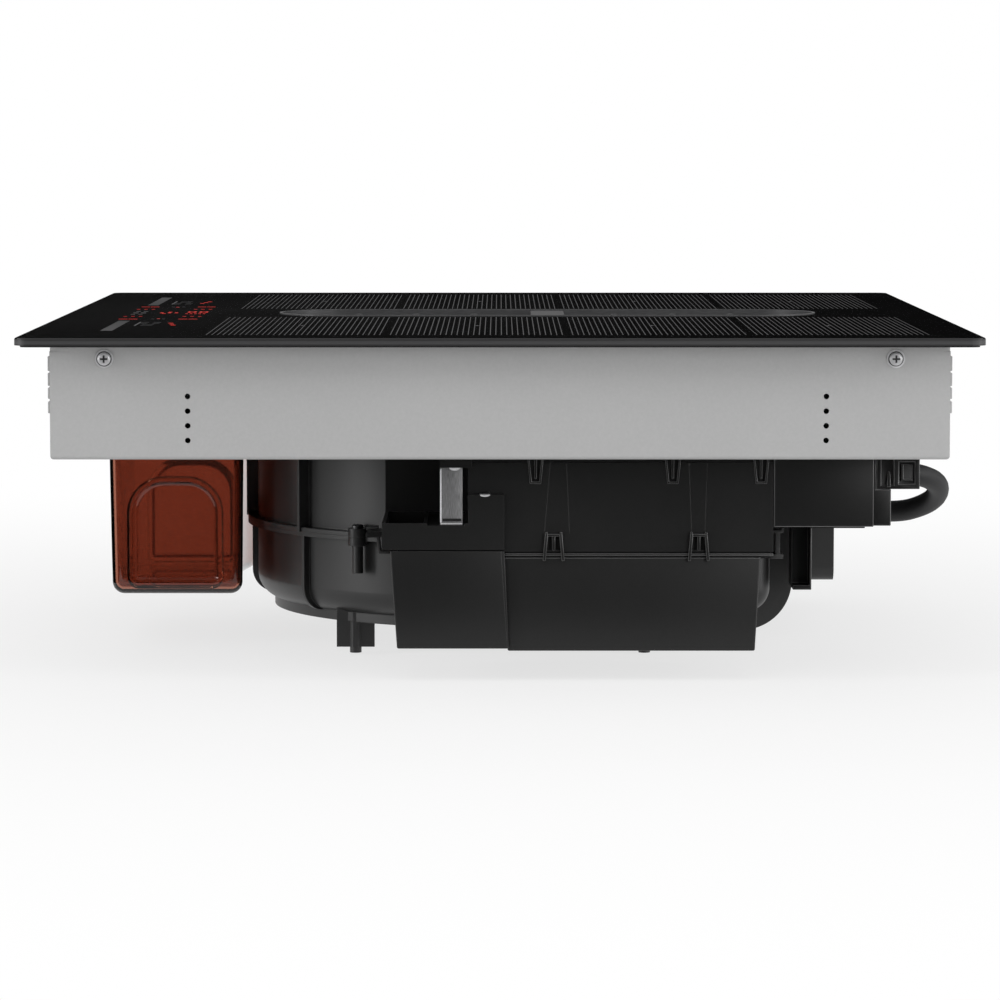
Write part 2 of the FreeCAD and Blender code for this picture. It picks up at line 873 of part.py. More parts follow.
def coil_ferrites():
    """Rows of ferrite bars under each former."""
    top = ferrite_top()
    bars = []
    for x, y in zone_places():
        for n in range(ferrite_columns):
            cx = x + (n - (ferrite_columns - 1) / 2) * ferrite_pitch
            for side in (-1, 1):
                cy = y + side * (coil_depth - ferrite_length - coil_band / 2) / 2
                bars.append(block(cx - ferrite_width / 2, cx + ferrite_width / 2, cy - ferrite_length / 2,
                                  cy + ferrite_length / 2, top - ferrite_thick, top))
    return bars


def coil_sensors():
    """Temperature sensors that press against the mica in the middle of each coil."""
    top = glass_base - mica_thick
    return [pillar(sensor_radius, ferrite_top() - ferrite_thick, top, x, y) for x, y in zone_places()]


def mica_sheets():
    half_x = coil_length / 2 + mica_margin
    half_y = coil_depth / 2 + mica_margin
    return [block(x - half_x, x + half_x, y - half_y, y + half_y, glass_base - mica_thick, glass_base)
            for x, y in zone_places()]


def coil_tray_span():
    """Front and back edge of the aluminium coil trays."""
    first = zone_first_y - coil_depth / 2 - coil_tray_margin
    last = zone_first_y + (zones_per_side - 1) * zone_pitch + coil_depth / 2 + coil_tray_margin
    return first, last


def tray_top():
    return ferrite_top() - ferrite_thick


def coil_trays():
    y0, y1 = coil_tray_span()
    half = coil_tray_width / 2
    z1 = tray_top()
    return [block(side * zone_centre_x - half, side * zone_centre_x + half, y0, y1, z1 - coil_tray_thick, z1)
            for side in (-1, 1)]


def post_places():
    y0, y1 = coil_tray_span()
    half = coil_tray_width / 2
    xs = (-half + post_radius, half - post_radius)
    ys = (y0 + post_inset, y1 - post_inset)
    return [(side * zone_centre_x + x, y) for side in (-1, 1) for x in xs for y in ys]


def tray_posts():
    top = tray_top() - coil_tray_thick - spring_height - spring_gap
    return [pillar(post_radius, casing_floor, top, x, y) for x, y in post_places()]


def leaf_springs():
    """Bowed spring strips between the posts and the coil trays."""
    base = tray_top() - coil_tray_thick - spring_height - spring_gap
    half = spring_span / 2
    rise = spring_height - spring_sheet
    low = Part.Arc(point(0, -half, base), point(0, 0, base + rise), point(0, half, base)).toShape()
    end = Part.makeLine(point(0, half, base), point(0, half, base + spring_sheet))
    high = Part.Arc(point(0, half, base + spring_sheet), point(0, 0, base + spring_height),
                    point(0, -half, base + spring_sheet)).toShape()
    start = Part.makeLine(point(0, -half, base + spring_sheet), point(0, -half, base))
    strip = Part.Face(Part.Wire([low, end, high, start])).extrude(point(spring_width, 0))
    strip = moved(strip, -spring_width / 2)
    seat = block(-spring_width / 2, spring_width / 2, -spring_sheet, spring_sheet, base, base + rise)
    strip = strip.fuse(seat).removeSplitter()
    return [moved(strip, x, y) for x, y in post_places()]


def touch_heights():
    """Underside and top of the touch board."""
    top = glass_base - display_top_gap - display_height
    return top - touch_board_thick, top


def touch_board():
    z0, z1 = touch_heights()
    half_y = touch_depth / 2
    return block(-touch_width / 2, touch_width / 2, touch_centre_y - half_y, touch_centre_y + half_y, z0, z1)


def touch_holder():
    """Open plastic frame that carries the touch board against the glass."""
    z0 = touch_heights()[0]
    grow = touch_holder_gap + touch_holder_wall
    x = touch_width / 2 + grow
    y = touch_depth / 2 + grow
    outer = block(-x, x, touch_centre_y - y, touch_centre_y + y, glass_base - touch_holder_height, glass_base)
    w = touch_holder_wall
    room = block(-x + w, x - w, touch_centre_y - y + w, touch_centre_y + y - w, z0, glass_base + over)
    return outer.cut(room)


def display_modules():
    z = touch_heights()[1]
    return [block(x - display_width / 2, x + display_width / 2, touch_centre_y - display_depth / 2,
                  touch_centre_y + display_depth / 2, z, z + display_height) for x in display_centre_xs]


def board_heights():
    z0 = casing_floor + standoff_height
    return z0, z0 + board_thick


def power_boards():
    z0, z1 = board_heights()
    half_x = board_width / 2
    half_y = board_depth / 2
    return [block(s * zone_centre_x - half_x, s * zone_centre_x + half_x, board_centre_y - half_y,
                  board_centre_y + half_y, z0, z1) for s in (-1, 1)]


def board_standoffs():
    """Short posts under the power boards."""
    x = board_width / 2 - standoff_inset
    y = board_depth / 2 - standoff_inset
    top = board_heights()[0]
    return [pillar(standoff_radius, casing_floor, top, s * zone_centre_x + i * x, board_centre_y + j * y)
            for s in (-1, 1) for i in (-1, 1) for j in (-1, 0, 1)]


def heat_sinks():
    z = board_heights()[1]
    sinks = []
    for s in (-1, 1):
        x0 = s * zone_centre_x - sink_width / 2
        y0 = board_centre_y - board_depth / 2 + standoff_inset
        base = block(x0, x0 + sink_width, y0, y0 + sink_depth, z, z + sink_base)
        pitch = (sink_width - sink_fin_thick) / (sink_fins - 1)
        fins = [block(x0 + n * pitch, x0 + n * pitch + sink_fin_thick, y0, y0 + sink_depth,
                      z + sink_base / 2, z + sink_height) for n in range(sink_fins)]
        sinks.append(fused([base] + fins))
    return sinks


def board_back_row():
    """The row behind the heat sinks where the tall parts stand."""
    return board_centre_y + board_depth / 2 - 2 * standoff_inset - capacitor_radius


def bus_capacitors():
    z = board_heights()[1]
    y = board_back_row()
    return [pillar(capacitor_radius, z, z + capacitor_height, s * zone_centre_x + n * sink_width / 2, y)
            for s in (-1, 1) for n in (-1, 0, 1)]


def filter_chokes():
    """Ring-wound chokes lying on the boards."""
    z = board_heights()[1] + choke_wire_radius
    y = board_back_row() - 2 * (capacitor_radius + choke_radius)
    places = [point(s * zone_centre_x + n * sink_width / 2, y, z) for s in (-1, 1) for n in (-1, 1)]
    return [Part.makeTorus(choke_radius, choke_wire_radius, place) for place in places]


def fan_housings():
    """Square axial fan frames on the casing floor, each with a strutted hub plate at the bottom."""
    half = fan_size / 2
    reach = fan_duct_radius + over
    w = fan_strut_width / 2
    y = fan_centre_y
    z0 = casing_floor
    z1 = z0 + fan_height
    plate_top = z0 + fan_wall
    frames = []
    for s in (-1, 1):
        x = s * zone_centre_x
        frame = block(x - half, x + half, y - half, y + half, z0, z1)
        frame = frame.cut(pillar(fan_duct_radius, z0 - over, z1 + over, x, y))
        hub = pillar(fan_hub_radius, z0, plate_top, x, y)
        arms = block(x - reach, x + reach, y - w, y + w, z0, plate_top)
        arms_across = block(x - w, x + w, y - reach, y + reach, z0, plate_top)
        pin = pillar(fan_pin_radius, z0, z1 - fan_wall, x, y)
        frames.append(fused([frame, hub, arms, arms_across, pin]))
    return frames


def fan_rotor(x):
    """Seven-bladed rotor that turns on the housing's pin."""
    z0 = casing_floor + fan_wall + spring_gap
    top = z0 + fan_blade_height
    hub = pillar(fan_hub_radius, z0, top, x, fan_centre_y)
    tip = fan_duct_radius - fan_tip_gap
    blades = []
    for n in range(fan_blades):
        blade = block(fan_hub_radius - over, tip, -fan_blade_thick / 2, fan_blade_thick / 2,
                      0, fan_blade_height)
        blade.rotate(point(0, 0, fan_blade_height / 2), point(1, 0), fan_blade_pitch_angle)
        box = pillar(tip, 0, fan_blade_height)
        blade = moved(blade.common(box), 0, 0, z0)
        blade.rotate(point(0, 0), point(0, 0, 1), n * 360 / fan_blades)
        blades.append(moved(blade, x, fan_centre_y))
    rotor = fused([hub] + blades)
    return rotor.cut(pillar(fan_pin_radius + fan_running_gap, z0 - over, top + over, x, fan_centre_y))


def scroll_edges(inset, z):
    """The scroll's outline moved inwards by inset: four quarter arcs and the throat's straight walls."""
    h = scroll_step / 2
    reach = scroll_reach
    quarters = [
        (-h, -h, reach - h - 2 * scroll_step, 90, 180),
        (h, -h, reach - h - scroll_step, 180, 270),
        (h, h, reach - h, 270, 360),
    ]
    first_radius = reach - h - 3 * scroll_step - inset
    throat_x = throat_width + inset
    first_angle = math.degrees(math.acos((throat_x + h) / first_radius))
    quarters = [(-h, h, first_radius + inset, first_angle, 90)] + quarters
    edges = []
    for cx, cy, radius, start, end in quarters:
        r = radius - inset

        def at(angle):
            a = math.radians(angle)
            return point(cx + r * math.cos(a), cy + r * math.sin(a), z)

        edges.append(Part.Arc(at(start), at((start + end) / 2), at(end)).toShape())
    tongue = edges[0].Vertexes[0].Point
    outer = edges[-1].Vertexes[-1].Point
    far_right = point(outer.x, throat_end_y, z)
    far_left = point(throat_x, throat_end_y, z)
    edges.append(Part.makeLine(outer, far_right))
    edges.append(Part.makeLine(far_right, far_left))
    edges.append(Part.makeLine(far_left, tongue))
    return edges


def scroll_prism(inset, z0, z1):
    """Upright solid of the scroll's outline, its tongue rounded."""
    prism = Part.Face(Part.Wire(scroll_edges(inset, z0))).extrude(point(0, 0, z1 - z0))
    tongue = [e for e in prism.Edges
              if abs(e.BoundBox.XMin - throat_width - inset) < same_place
              and e.BoundBox.ZLength > over / 2 and e.BoundBox.YMax < throat_end_y - over]
    return prism.makeFillet(tongue_radius + inset, tongue)


def scroll_radius(angle):
    """Distance from the origin to the scroll's outer wall, at an angle in degrees between 90 and 360."""
    h = scroll_step / 2
    quarter = int(angle // 90)
    cx = -h if quarter == 1 else h
    cy = h if quarter == 3 else -h
    r = scroll_reach - h - (3 - quarter) * scroll_step
    a = math.radians(angle)
    along = cx * math.cos(a) + cy * math.sin(a)
    return along + math.sqrt(along * along - cx * cx - cy * cy + r * r)


def at_angle(radius, angle):
    a = math.radians(angle)
    return radius * math.cos(a), radius * math.sin(a)


def fin(angle, inner, outer, z0, z1):
    """Upright rib on the scroll's outer wall."""
    plate = block(inner, outer, -fin_thick / 2, fin_thick / 2, z0, z1)
    plate.rotate(point(0, 0), point(0, 0, 1), angle)
    return plate


def boss_places():
    places = []
    for angle in boss_angles:
        radius = scroll_radius(angle) + seam_flange
        places.append(at_angle(radius, angle))
    return places


def blower_upper_shell():
    """Top half of the scroll with the inlet opening, the seam flange, bosses and fins."""
    seam = -seam_drop
    outer = scroll_prism(0, seam, scroll_top)
    flange = scroll_prism(-seam_flange, seam, seam + seam_flange_thick)
    flange = flange.cut(block(-scroll_reach, 2 * scroll_reach, throat_end_y, 2 * scroll_reach,
                              seam - over, scroll_top))
    pieces = [outer, flange]
    for x, y in boss_places():
        pieces.append(pillar(boss_radius, seam, seam + boss_height / 2, x, y))
    for angle in fin_angles:
        wall = scroll_radius(angle)
        pieces.append(fin(angle, wall - scroll_wall, wall + fin_reach, seam, scroll_top))
    body = fused(pieces)
    room = scroll_prism(scroll_wall, seam - over, scroll_top - scroll_wall)
    mouth = block(throat_width + scroll_wall, scroll_reach - scroll_wall, throat_end_y - 2 * scroll_wall,
                  throat_end_y + over, seam - over, scroll_top - scroll_wall)
    inlet = stadium(inlet_width, inlet_length, scroll_top - scroll_wall - over, scroll_top + over, 0)
    body = body.cut(room).cut(mouth).cut(inlet)
    for x, y in boss_places():
        body = body.cut(pillar(boss_screw_radius + screw_hole_gap, seam - over,
                               seam + boss_height + over, x, y))
    return body


def blower_lower_shell():
    """Bottom half of the scroll: tub with a rounded edge, rim ring, feet, flange, bosses and fins."""
    seam = -seam_drop
    tub = scroll_prism(0, scroll_base, seam)
    tub = tub.makeFillet(scroll_corner_radius, edges_at(tub, scroll_base))
    flange = scroll_prism(-seam_flange, seam - seam_flange_thick, seam)
    flange = flange.cut(block(-scroll_reach, 2 * scroll_reach, throat_end_y, 2 * scroll_reach,
                              scroll_base, seam + over))
    ring_base = scroll_base - rim_ring_height
    rim = scroll_prism(rim_ring_inset, ring_base, scroll_base + scroll_corner_radius / 2)
    rim = rim.cut(scroll_prism(rim_ring_inset + rim_ring_wall, ring_base - over,
                               scroll_base + scroll_corner_radius))
    pieces = [flange, rim]
    for x, y in boss_places():
        pieces.append(pillar(boss_radius, seam - boss_height / 2, seam, x, y))
        pieces.append(pillar(boss_post_radius, seam - boss_height / 2 - boss_post_length, seam, x, y))
    for angle in fin_angles:
        wall = scroll_radius(angle)
        rib = fin(angle, wall - scroll_corner_radius - scroll_wall, wall + fin_lower_reach, scroll_base, seam)
        foot_edge = [e for e in edges_at(rib, scroll_base)
                     if math.hypot(e.CenterOfMass.x, e.CenterOfMass.y) > wall + fin_lower_reach / 2]
        pieces.append(rib.makeFillet(scroll_corner_radius, foot_edge))
    for x, y in foot_places():
        pieces += foot_pieces(x, y, ring_base)
    room = scroll_prism(scroll_wall, scroll_floor, seam + over)
    room = room.makeFillet(scroll_corner_radius - scroll_wall, edges_at(room, scroll_floor))
    mouth = block(throat_width + scroll_wall, scroll_reach - scroll_wall,
                  throat_end_y - scroll_corner_radius - scroll_wall, throat_end_y + over,
                  scroll_base + scroll_corner_radius, seam + over)
    body = fused([piece.cut(room) for piece in [tub] + pieces]).cut(mouth)
    for x, y in boss_places():
        body = body.cut(pillar(boss_screw_radius + screw_thread_gap, seam - boss_screw_depth - over,
                               seam + over, x, y))
    return body


def foot_places():
    """Two feet at the front of the scroll, and two at the same X behind its middle."""
    places = []
    for angle in foot_angles:
        x, y = at_angle(scroll_radius(angle) - foot_inset, angle)
        places += [(x, y), (x, -y)]
    return places


def foot_pieces(x, y, ring_base):
    """Foot with two crossed wings and a round post that stands a little lower."""
    top = scroll_base + scroll_corner_radius / 2
    wing_base = ring_base - foot_wing_height
    span = foot_wing_span / 2
    thick = foot_wing_thick / 2
    return [
        block(x - thick, x + thick, y - span, y + span, wing_base, top),
        block(x - span / 2, x + span / 2, y - thick, y + thick, wing_base, top),
        pillar(foot_post_radius, ring_base - foot_height, top, x, y),
    ]


def shell_screws():
    """Screws that close the scroll's bosses, heads on the upper shell."""
    one = screw(boss_screw_radius, boss_screw_depth + boss_height / 2, boss_screw_head_radius,
                boss_screw_head_height)
    return [moved(one, x, y, -seam_drop + boss_height / 2) for x, y in boss_places()]


def scroll_gasket_ring():
    """Foam gasket between the casing floor and the scroll's inlet."""
    band = 2 * inlet_collar_wall + well_flange
    return stadium_ring(inlet_width + 2 * band, inlet_length + 2 * band, band - casing_inlet_gap,
                        scroll_top, -casing_drop, 0)


def inlet_ring():
    """Bell mouth under the scroll's top that leads the air into the impeller's eye."""
    top = scroll_top - scroll_wall
    neck_radius = inlet_ring_radius + inlet_ring_wall
    flange = ring(neck_radius + inlet_ring_flange, inlet_ring_radius, top - inlet_ring_wall, top)
    neck = ring(neck_radius, inlet_ring_radius, top - inlet_ring_drop, top)
    return flange.fuse(neck).removeSplitter()


def impeller_top():
    return scroll_top - scroll_wall - inlet_ring_wall - impeller_top_gap


def impeller():
    """Forward-curved wheel: bottom plate with a collar on the rotor cup, blades and a top shroud ring."""
    top = impeller_top()
    base = top - impeller_height
    bore = rotor_radius + hub_press_gap
    plate = ring(impeller_radius, bore, base, base + impeller_plate_thick)
    collar = ring(bore + collar_wall, bore, base, base + collar_height)
    shroud = ring(impeller_radius, impeller_radius - impeller_shroud_width, top - impeller_plate_thick, top)
    chord = impeller_radius - impeller_eye_radius
    bow = chord / 4
    blade_height = impeller_height - impeller_plate_thick
    pieces = [plate, collar, shroud]
    for n in range(impeller_blades):
        near = Part.Arc(point(0, 0), point(chord / 2, bow), point(chord, 0)).toShape()
        cap = Part.makeLine(point(chord, 0), point(chord, impeller_blade_thick))
        far = Part.Arc(point(chord, impeller_blade_thick), point(chord / 2, bow + impeller_blade_thick),
                       point(0, impeller_blade_thick)).toShape()
        root = Part.makeLine(point(0, impeller_blade_thick), point(0, 0))
        blade = Part.Face(Part.Wire([near, cap, far, root])).extrude(point(0, 0, blade_height))
        blade.rotate(point(0, 0), point(0, 0, 1), impeller_lean)
        blade = moved(blade, impeller_eye_radius, 0, base + impeller_plate_thick / 2)
        blade.rotate(point(0, 0), point(0, 0, 1), n * 360 / impeller_blades)
        pieces.append(blade.common(pillar(impeller_radius, base, top)))
    return fused(pieces)


def rotor_base():
    return impeller_top() - impeller_height


def motor_rotor():
    """Steel cup, open below, that carries the impeller."""
    base = rotor_base()
    top = base + rotor_height
    cup = pillar(rotor_radius, base, top)
    cup = cup.cut(pillar(rotor_radius - rotor_wall, base - over, top - rotor_wall))
    return cup.cut(pillar(shaft_radius + screw_thread_gap, base, top + over))


def motor_plate_top():
    return scroll_floor + bush_height + motor_plate_thick


def tube_radius():
    return bearing_radius + bearing_tube_wall


def tube_top():
    return rotor_base() + rotor_height - 2 * rotor_wall


def motor_shaft():
    base = motor_plate_top() - motor_plate_thick
    return pillar(shaft_radius, base, rotor_base() + rotor_height + rotor_wall)


def bush_places():
    return [at_angle(bush_circle_radius, n * 360 / bush_count) for n in range(bush_count)]


def motor_plate():
    """Round base with the bearing tube."""
    top = motor_plate_top()
    plate = pillar(motor_plate_radius, top - motor_plate_thick, top)
    tube = pillar(tube_radius(), top - motor_plate_thick, tube_top())
    body = plate.fuse(tube).removeSplitter()
    bore = pillar(bearing_radius + screw_thread_gap, top - motor_plate_thick - over, tube_top() + over)
    return body.cut(bore)


def bearings():
    """Two sleeve bearings at the ends of the tube; the shaft turns in them."""
    low = motor_plate_top() - motor_plate_thick
    high = tube_top()
    inner = shaft_radius + running_gap
    return [
        ring(bearing_radius, inner, low, low + bearing_length),
        ring(bearing_radius, inner, high - bearing_length, high),
    ]


def motor_stator():
    """Slotted stack pressed on the bearing tube."""
    top = tube_top() - rotor_wall
    base = top - stator_height
    outer = rotor_radius - rotor_wall - air_gap
    body = ring(outer, tube_radius() + screw_thread_gap, base, top)
    for n in range(stator_slots):
        slot = block(outer - stator_slot_depth, outer + over, -stator_slot_width / 2, stator_slot_width / 2,
                     base - over, top + over)
        slot.rotate(point(0, 0), point(0, 0, 1), n * 360 / stator_slots)
        body = body.cut(slot)
    return body


def motor_bushes():
    """Rubber bushes between the motor plate and the scroll's floor."""
    return [pillar(bush_radius, scroll_floor, scroll_floor + bush_height, x, y) for x, y in bush_places()]


def duct_section(x0, x1, grow):
    """Duct body between two X planes: a slab along X, its lower back edge rounded."""
    y1 = duct_back_y + grow
    base = -duct_drop - grow
    top = -duct_top_drop + min(grow, 0)
    body = block(x0, x1, throat_end_y, y1, base, top)
    edge = [e for e in edges_at(body, base) if abs(e.BoundBox.YMin - y1) < same_place]
    return body.makeFillet(duct_corner_radius + grow, edge)


def duct_joint_opening():
    """The throat's mouth through the duct's front wall."""
    return block(throat_width + scroll_wall, scroll_reach - scroll_corner_radius, throat_end_y - over,
                 throat_end_y + 2 * duct_wall, scroll_base + scroll_corner_radius, scroll_top - scroll_wall)


def duct_end_rounded(body, x, radius):
    """Duct body with the edges of its closed end at one X rounded along the back wall and the floor."""
    top = body.BoundBox.ZMax
    end = [e for e in body.Edges if e.BoundBox.XLength < same_place and abs(e.BoundBox.XMin - x) < same_place]
    edges = [e for e in end if e.BoundBox.YMax > throat_end_y + over and e.BoundBox.ZMin < top - same_place]
    return body.makeFillet(radius, edges)


def duct_near_shell():
    """Near half shell: its closed end is well rounded, so the air turns without a corner."""
    x0 = duct_split_x
    x1 = duct_right_x
    outer = duct_end_rounded(duct_section(x0, x1, 0), x1, duct_end_radius)
    flange = duct_section(x0, x0 + duct_flange_thick, duct_flange)
    room_end = x1 - duct_wall
    room = duct_section(x0 - over, room_end, -duct_wall)
    room = duct_end_rounded(room, room_end, duct_end_radius - duct_wall)
    front = block(x0, x1 - duct_end_radius, throat_end_y, throat_end_y + duct_wall, -duct_drop + duct_wall,
                  -duct_top_drop - duct_wall)
    shell = outer.fuse(flange).removeSplitter().cut(room)
    return shell.fuse(front).removeSplitter().cut(duct_joint_opening())


def spigot_box(grow):
    """X and Z limits of the flat spigot, grown by an amount."""
    x1 = spigot_right_x + grow
    x0 = spigot_right_x - spigot_width - grow
    z1 = -spigot_top_drop + grow
    z0 = -spigot_top_drop - spigot_height - grow
    return x0, x1, z0, z1


def flat_tube(grow, y0, y1):
    """Round-cornered slab along Y with the spigot's section."""
    x0, x1, z0, z1 = spigot_box(grow)
    slab = rounded_slab(x0, x1, z0, z1, -y1, -y0, spigot_corner_radius + grow)
    return turned(slab, point(1, 0), 90)


def duct_far_shell():
    shell = duct_section(duct_left_x, duct_split_x, 0)
    flange = duct_section(duct_split_x - duct_flange_thick, duct_split_x, duct_flange)
    room = duct_section(duct_left_x + duct_wall, duct_split_x + over, -duct_wall)
    shell = shell.fuse(flange).removeSplitter().cut(room)
    front = block(duct_left_x, duct_split_x, throat_end_y, throat_end_y + duct_wall, -duct_drop + duct_wall,
                  -duct_top_drop - duct_wall)
    shell = shell.fuse(front).removeSplitter().cut(duct_joint_opening())
    return shell.cut(flat_tube(-spigot_wall, duct_back_y - 2 * duct_wall, duct_back_y + over))


def exhaust_spigot():
    """Collar on the duct's back wall, a groove, a stop rib and the spigot for a flat duct."""
    rib_end = spigot_collar_end_y
    rib_start = rib_end - spigot_rib_thick
    base_flange = flat_tube(spigot_rib_reach, duct_back_y, duct_back_y + spigot_rib_thick)
    collar = flat_tube(0, duct_back_y, spigot_end_y)
    rib = flat_tube(spigot_rib_reach, rib_start, rib_end)
    body = fused([base_flange, collar, rib])
    return body.cut(flat_tube(-spigot_wall, duct_back_y - over, spigot_end_y + over))


def upper_latch_cuts():
    top = -casing_drop
    half = latch_width / 2
    return [block(box_face_x - latch_depth, box_face_x + over, y - half, y + half,
                  top - upper_latch_length, top + over) for y in upper_latch_ys]


def control_box_upper():
    """Upper shell: open below, with latch pockets at its top edge, clips over the seam and an overhang."""
    y0 = control_front_y
    y1 = control_back_y
    seam = -control_seam_drop
    outer = block(box_back_x, box_face_x, y0, y1, seam, -casing_drop)
    room = block(box_back_x + box_wall, box_face_x - box_wall - latch_depth, y0 + box_wall, y1 - box_wall,
                 seam - over, -casing_drop - box_wall)
    overhang = block(box_back_x + box_wall + box_joint_gap, box_face_x, step_front_y, y0,
                     -step_top_drop + overhang_gap, -casing_drop)
    tab = block(tray_face_x - box_wall, tray_face_x, strap_left_y, step_front_y, -casing_drop - tab_height,
                -casing_drop)
    tab_root = block(box_face_x - box_wall, tray_face_x, step_front_y, step_front_y + box_wall,
                     -casing_drop - tab_height, -casing_drop)
    body = fused([outer, overhang, tab, tab_root] + box_clips()).cut(room)
    for cut in upper_latch_cuts():
        body = body.cut(cut)
    return body


def control_box_lower():
    """Lower tub with draft, a lip along the seam and posts for the driver board."""
    y0 = control_front_y + box_joint_gap
    y1 = control_back_y
    lip_top = -control_seam_drop
    lip_base = lip_top - control_lip_height
    base = -control_drop
    lip = block(box_back_x, box_face_x + control_lip_reach, y0, y1, lip_base, lip_top)
    front = y0 + control_front_inset
    top_box = (box_back_x, box_face_x, front, tub_back_y)
    low_box = (box_back_x, box_face_x - control_draft / 2, front + control_draft, tub_back_y - control_draft)
    outer = tapered_slab(top_box, low_box, lip_base, base, control_corner_radius)
    shrink = (box_wall, -box_wall, box_wall, -box_wall)
    inner_top = tuple(v + d for v, d in zip(top_box, shrink))
    inner_low = tuple(v + d for v, d in zip(low_box, shrink))
    inner_radius = control_corner_radius - box_wall
    room = tapered_slab(inner_top, inner_low, lip_base, base + box_wall, inner_radius)
    mouth = block(*inner_top, lip_base - over, lip_top + over)
    body = fused([lip, outer]).cut(room).cut(mouth)
    return fused([body] + driver_posts())


def box_clips():
    """Inverted U clips on the upper shell that reach down over the lower tub's lip, two legs each."""
    clips = []
    seam = -control_seam_drop
    for y in lower_latch_ys:
        half = latch_width / 2
        leg_base = seam - control_lip_height - lower_latch_leg_drop
        x0 = box_face_x + control_lip_reach + box_joint_gap
        x1 = x0 + lower_latch_proud
        top = seam + lower_latch_rise
        leg = block(x0, x1, -lower_latch_leg / 2, lower_latch_leg / 2, leg_base, top)
        legs = [moved(leg, 0, y + s * half) for s in (-1, 1)]
        bridge = block(box_face_x, x1, y - half, y + half, top - lower_latch_leg, top)
        clips.append(fused(legs + [bridge]))
    return clips


def small_box():
    """Closed box under the tray, beside the control box."""
    y0 = small_box_front_y
    y1 = control_front_y - box_joint_gap
    top = -tray_seam_drop
    base = -small_box_drop
    lean = small_box_draft
    top_box = (box_back_x, tray_face_x, y0, y1)
    low_box = (box_back_x, tray_face_x - lean / 2, y0 + lean, y1 + lean)
    outer = tapered_slab(top_box, low_box, top, base, control_corner_radius)
    inset = (box_wall, -box_wall, box_wall, -box_wall)
    inner_top = tuple(v + d for v, d in zip(top_box, inset))
    inner_low = tuple(v + d for v, d in zip(low_box, inset))
    room = tapered_slab(inner_top, inner_low, top, base + box_wall, control_corner_radius - box_wall)
    return outer.cut(room)


def support_tray():
    """Tray with a pocket, a plateau for the strap, the step block, an inner wall and an ear."""
    y0 = tray_front_y
    y1 = control_front_y - box_joint_gap
    top = -tray_top_drop
    base = -tray_seam_drop
    slab = block(box_back_x, tray_face_x, y0, y1, base, top)
    step = block(box_back_x, tray_face_x, step_front_y, y1, base, -step_top_drop)
    wall = block(box_back_x, box_back_x + box_wall, y0, y1, base, -casing_drop)
    ear = block(box_back_x, box_back_x + 2 * ear_reach, y0 - ear_reach, y0,
                top - ear_reach - ear_thick, top - ear_reach)
    body = fused([slab, step, wall, ear])
    pocket = block(box_back_x + 2 * box_wall, tray_face_x - box_wall, y0 + box_wall, tray_pocket_end_y,
                   top - tray_pocket_depth, top + over)
    plateau = block(box_back_x + 2 * box_wall, tray_face_x + over, tray_pocket_end_y + box_wall,
                    step_front_y - box_wall, top - tray_plateau_depth, top + over)
    body = body.cut(pocket).cut(plateau)
    middle_y = (step_front_y + y1) / 2
    hole_radius = strap_screw_radius + screw_thread_gap
    for x, y, z in ((dome_screw_x(), middle_y, -step_top_drop),
                    (*strap_foot_place(), top - tray_plateau_depth)):
        body = body.cut(pillar(hole_radius, z - strap_screw_length - over, z + over, x, y))
    return body


def dome_screw_x():
    """The dome screw looks out from under the control box's overhang."""
    return box_face_x - dome_radius / 4


def strap_foot_place():
    return strap_face_x - strap_foot / 2 - strap_thick / 2, strap_left_y + strap_width / 2


def strap_head_place():
    return strap_face_x - strap_head / 2 - strap_thick / 2, strap_left_y + strap_width / 2


def strap_screws():
    """Two screws of the hanger strap: through its foot into the tray, and up through its head."""
    one = screw(strap_screw_radius, strap_screw_length, strap_screw_head_radius, strap_screw_head_height)
    x, y = strap_foot_place()
    low = moved(one, x, y, -tray_top_drop - tray_plateau_depth + strap_thick)
    head = turned(screw(strap_screw_radius, strap_head_screw_length, strap_screw_head_radius,
                        strap_screw_head_height), point(1, 0), 180)
    high = moved(head, *strap_head_place(), -casing_drop - strap_thick)
    return [low, high]


def dome_screw():
    """Dome-headed screw on the step block."""
    y = (step_front_y + control_front_y - box_joint_gap) / 2
    x = dome_screw_x()
    ball_radius = (dome_radius * dome_radius + dome_height * dome_height) / (2 * dome_height)
    ball = Part.makeSphere(ball_radius, point(x, y, -step_top_drop + dome_height - ball_radius))
    head = ball.common(pillar(dome_radius, -step_top_drop, -step_top_drop + dome_height + over, x, y))
    shank = pillar(strap_screw_radius, -step_top_drop - strap_screw_length,
                   -step_top_drop + dome_height / 2, x, y)
    return head.fuse(shank).removeSplitter()


def hanger_strap():
    """Bright strap: a head under the casing, an upright and a foot on the tray's plateau."""
    y0 = strap_left_y
    y1 = y0 + strap_width
    x1 = strap_face_x
    foot_z = -tray_top_drop - tray_plateau_depth
    upright = block(x1 - strap_thick, x1, y0, y1, foot_z, -casing_drop)
    head = block(x1 - strap_head, x1, y0, y1, -casing_drop - strap_thick, -casing_drop)
    foot = block(x1 - strap_foot, x1, y0, y1, foot_z, foot_z + strap_thick)
    body = fused([upright, head, foot])
    hole_radius = strap_screw_radius + screw_hole_gap
    head_hole = pillar(hole_radius, -casing_drop - strap_thick - over, -casing_drop + over,
                       *strap_head_place())
    foot_hole = pillar(hole_radius, foot_z - over, foot_z + strap_thick + over, *strap_foot_place())
    return body.cut(head_hole).cut(foot_hole)


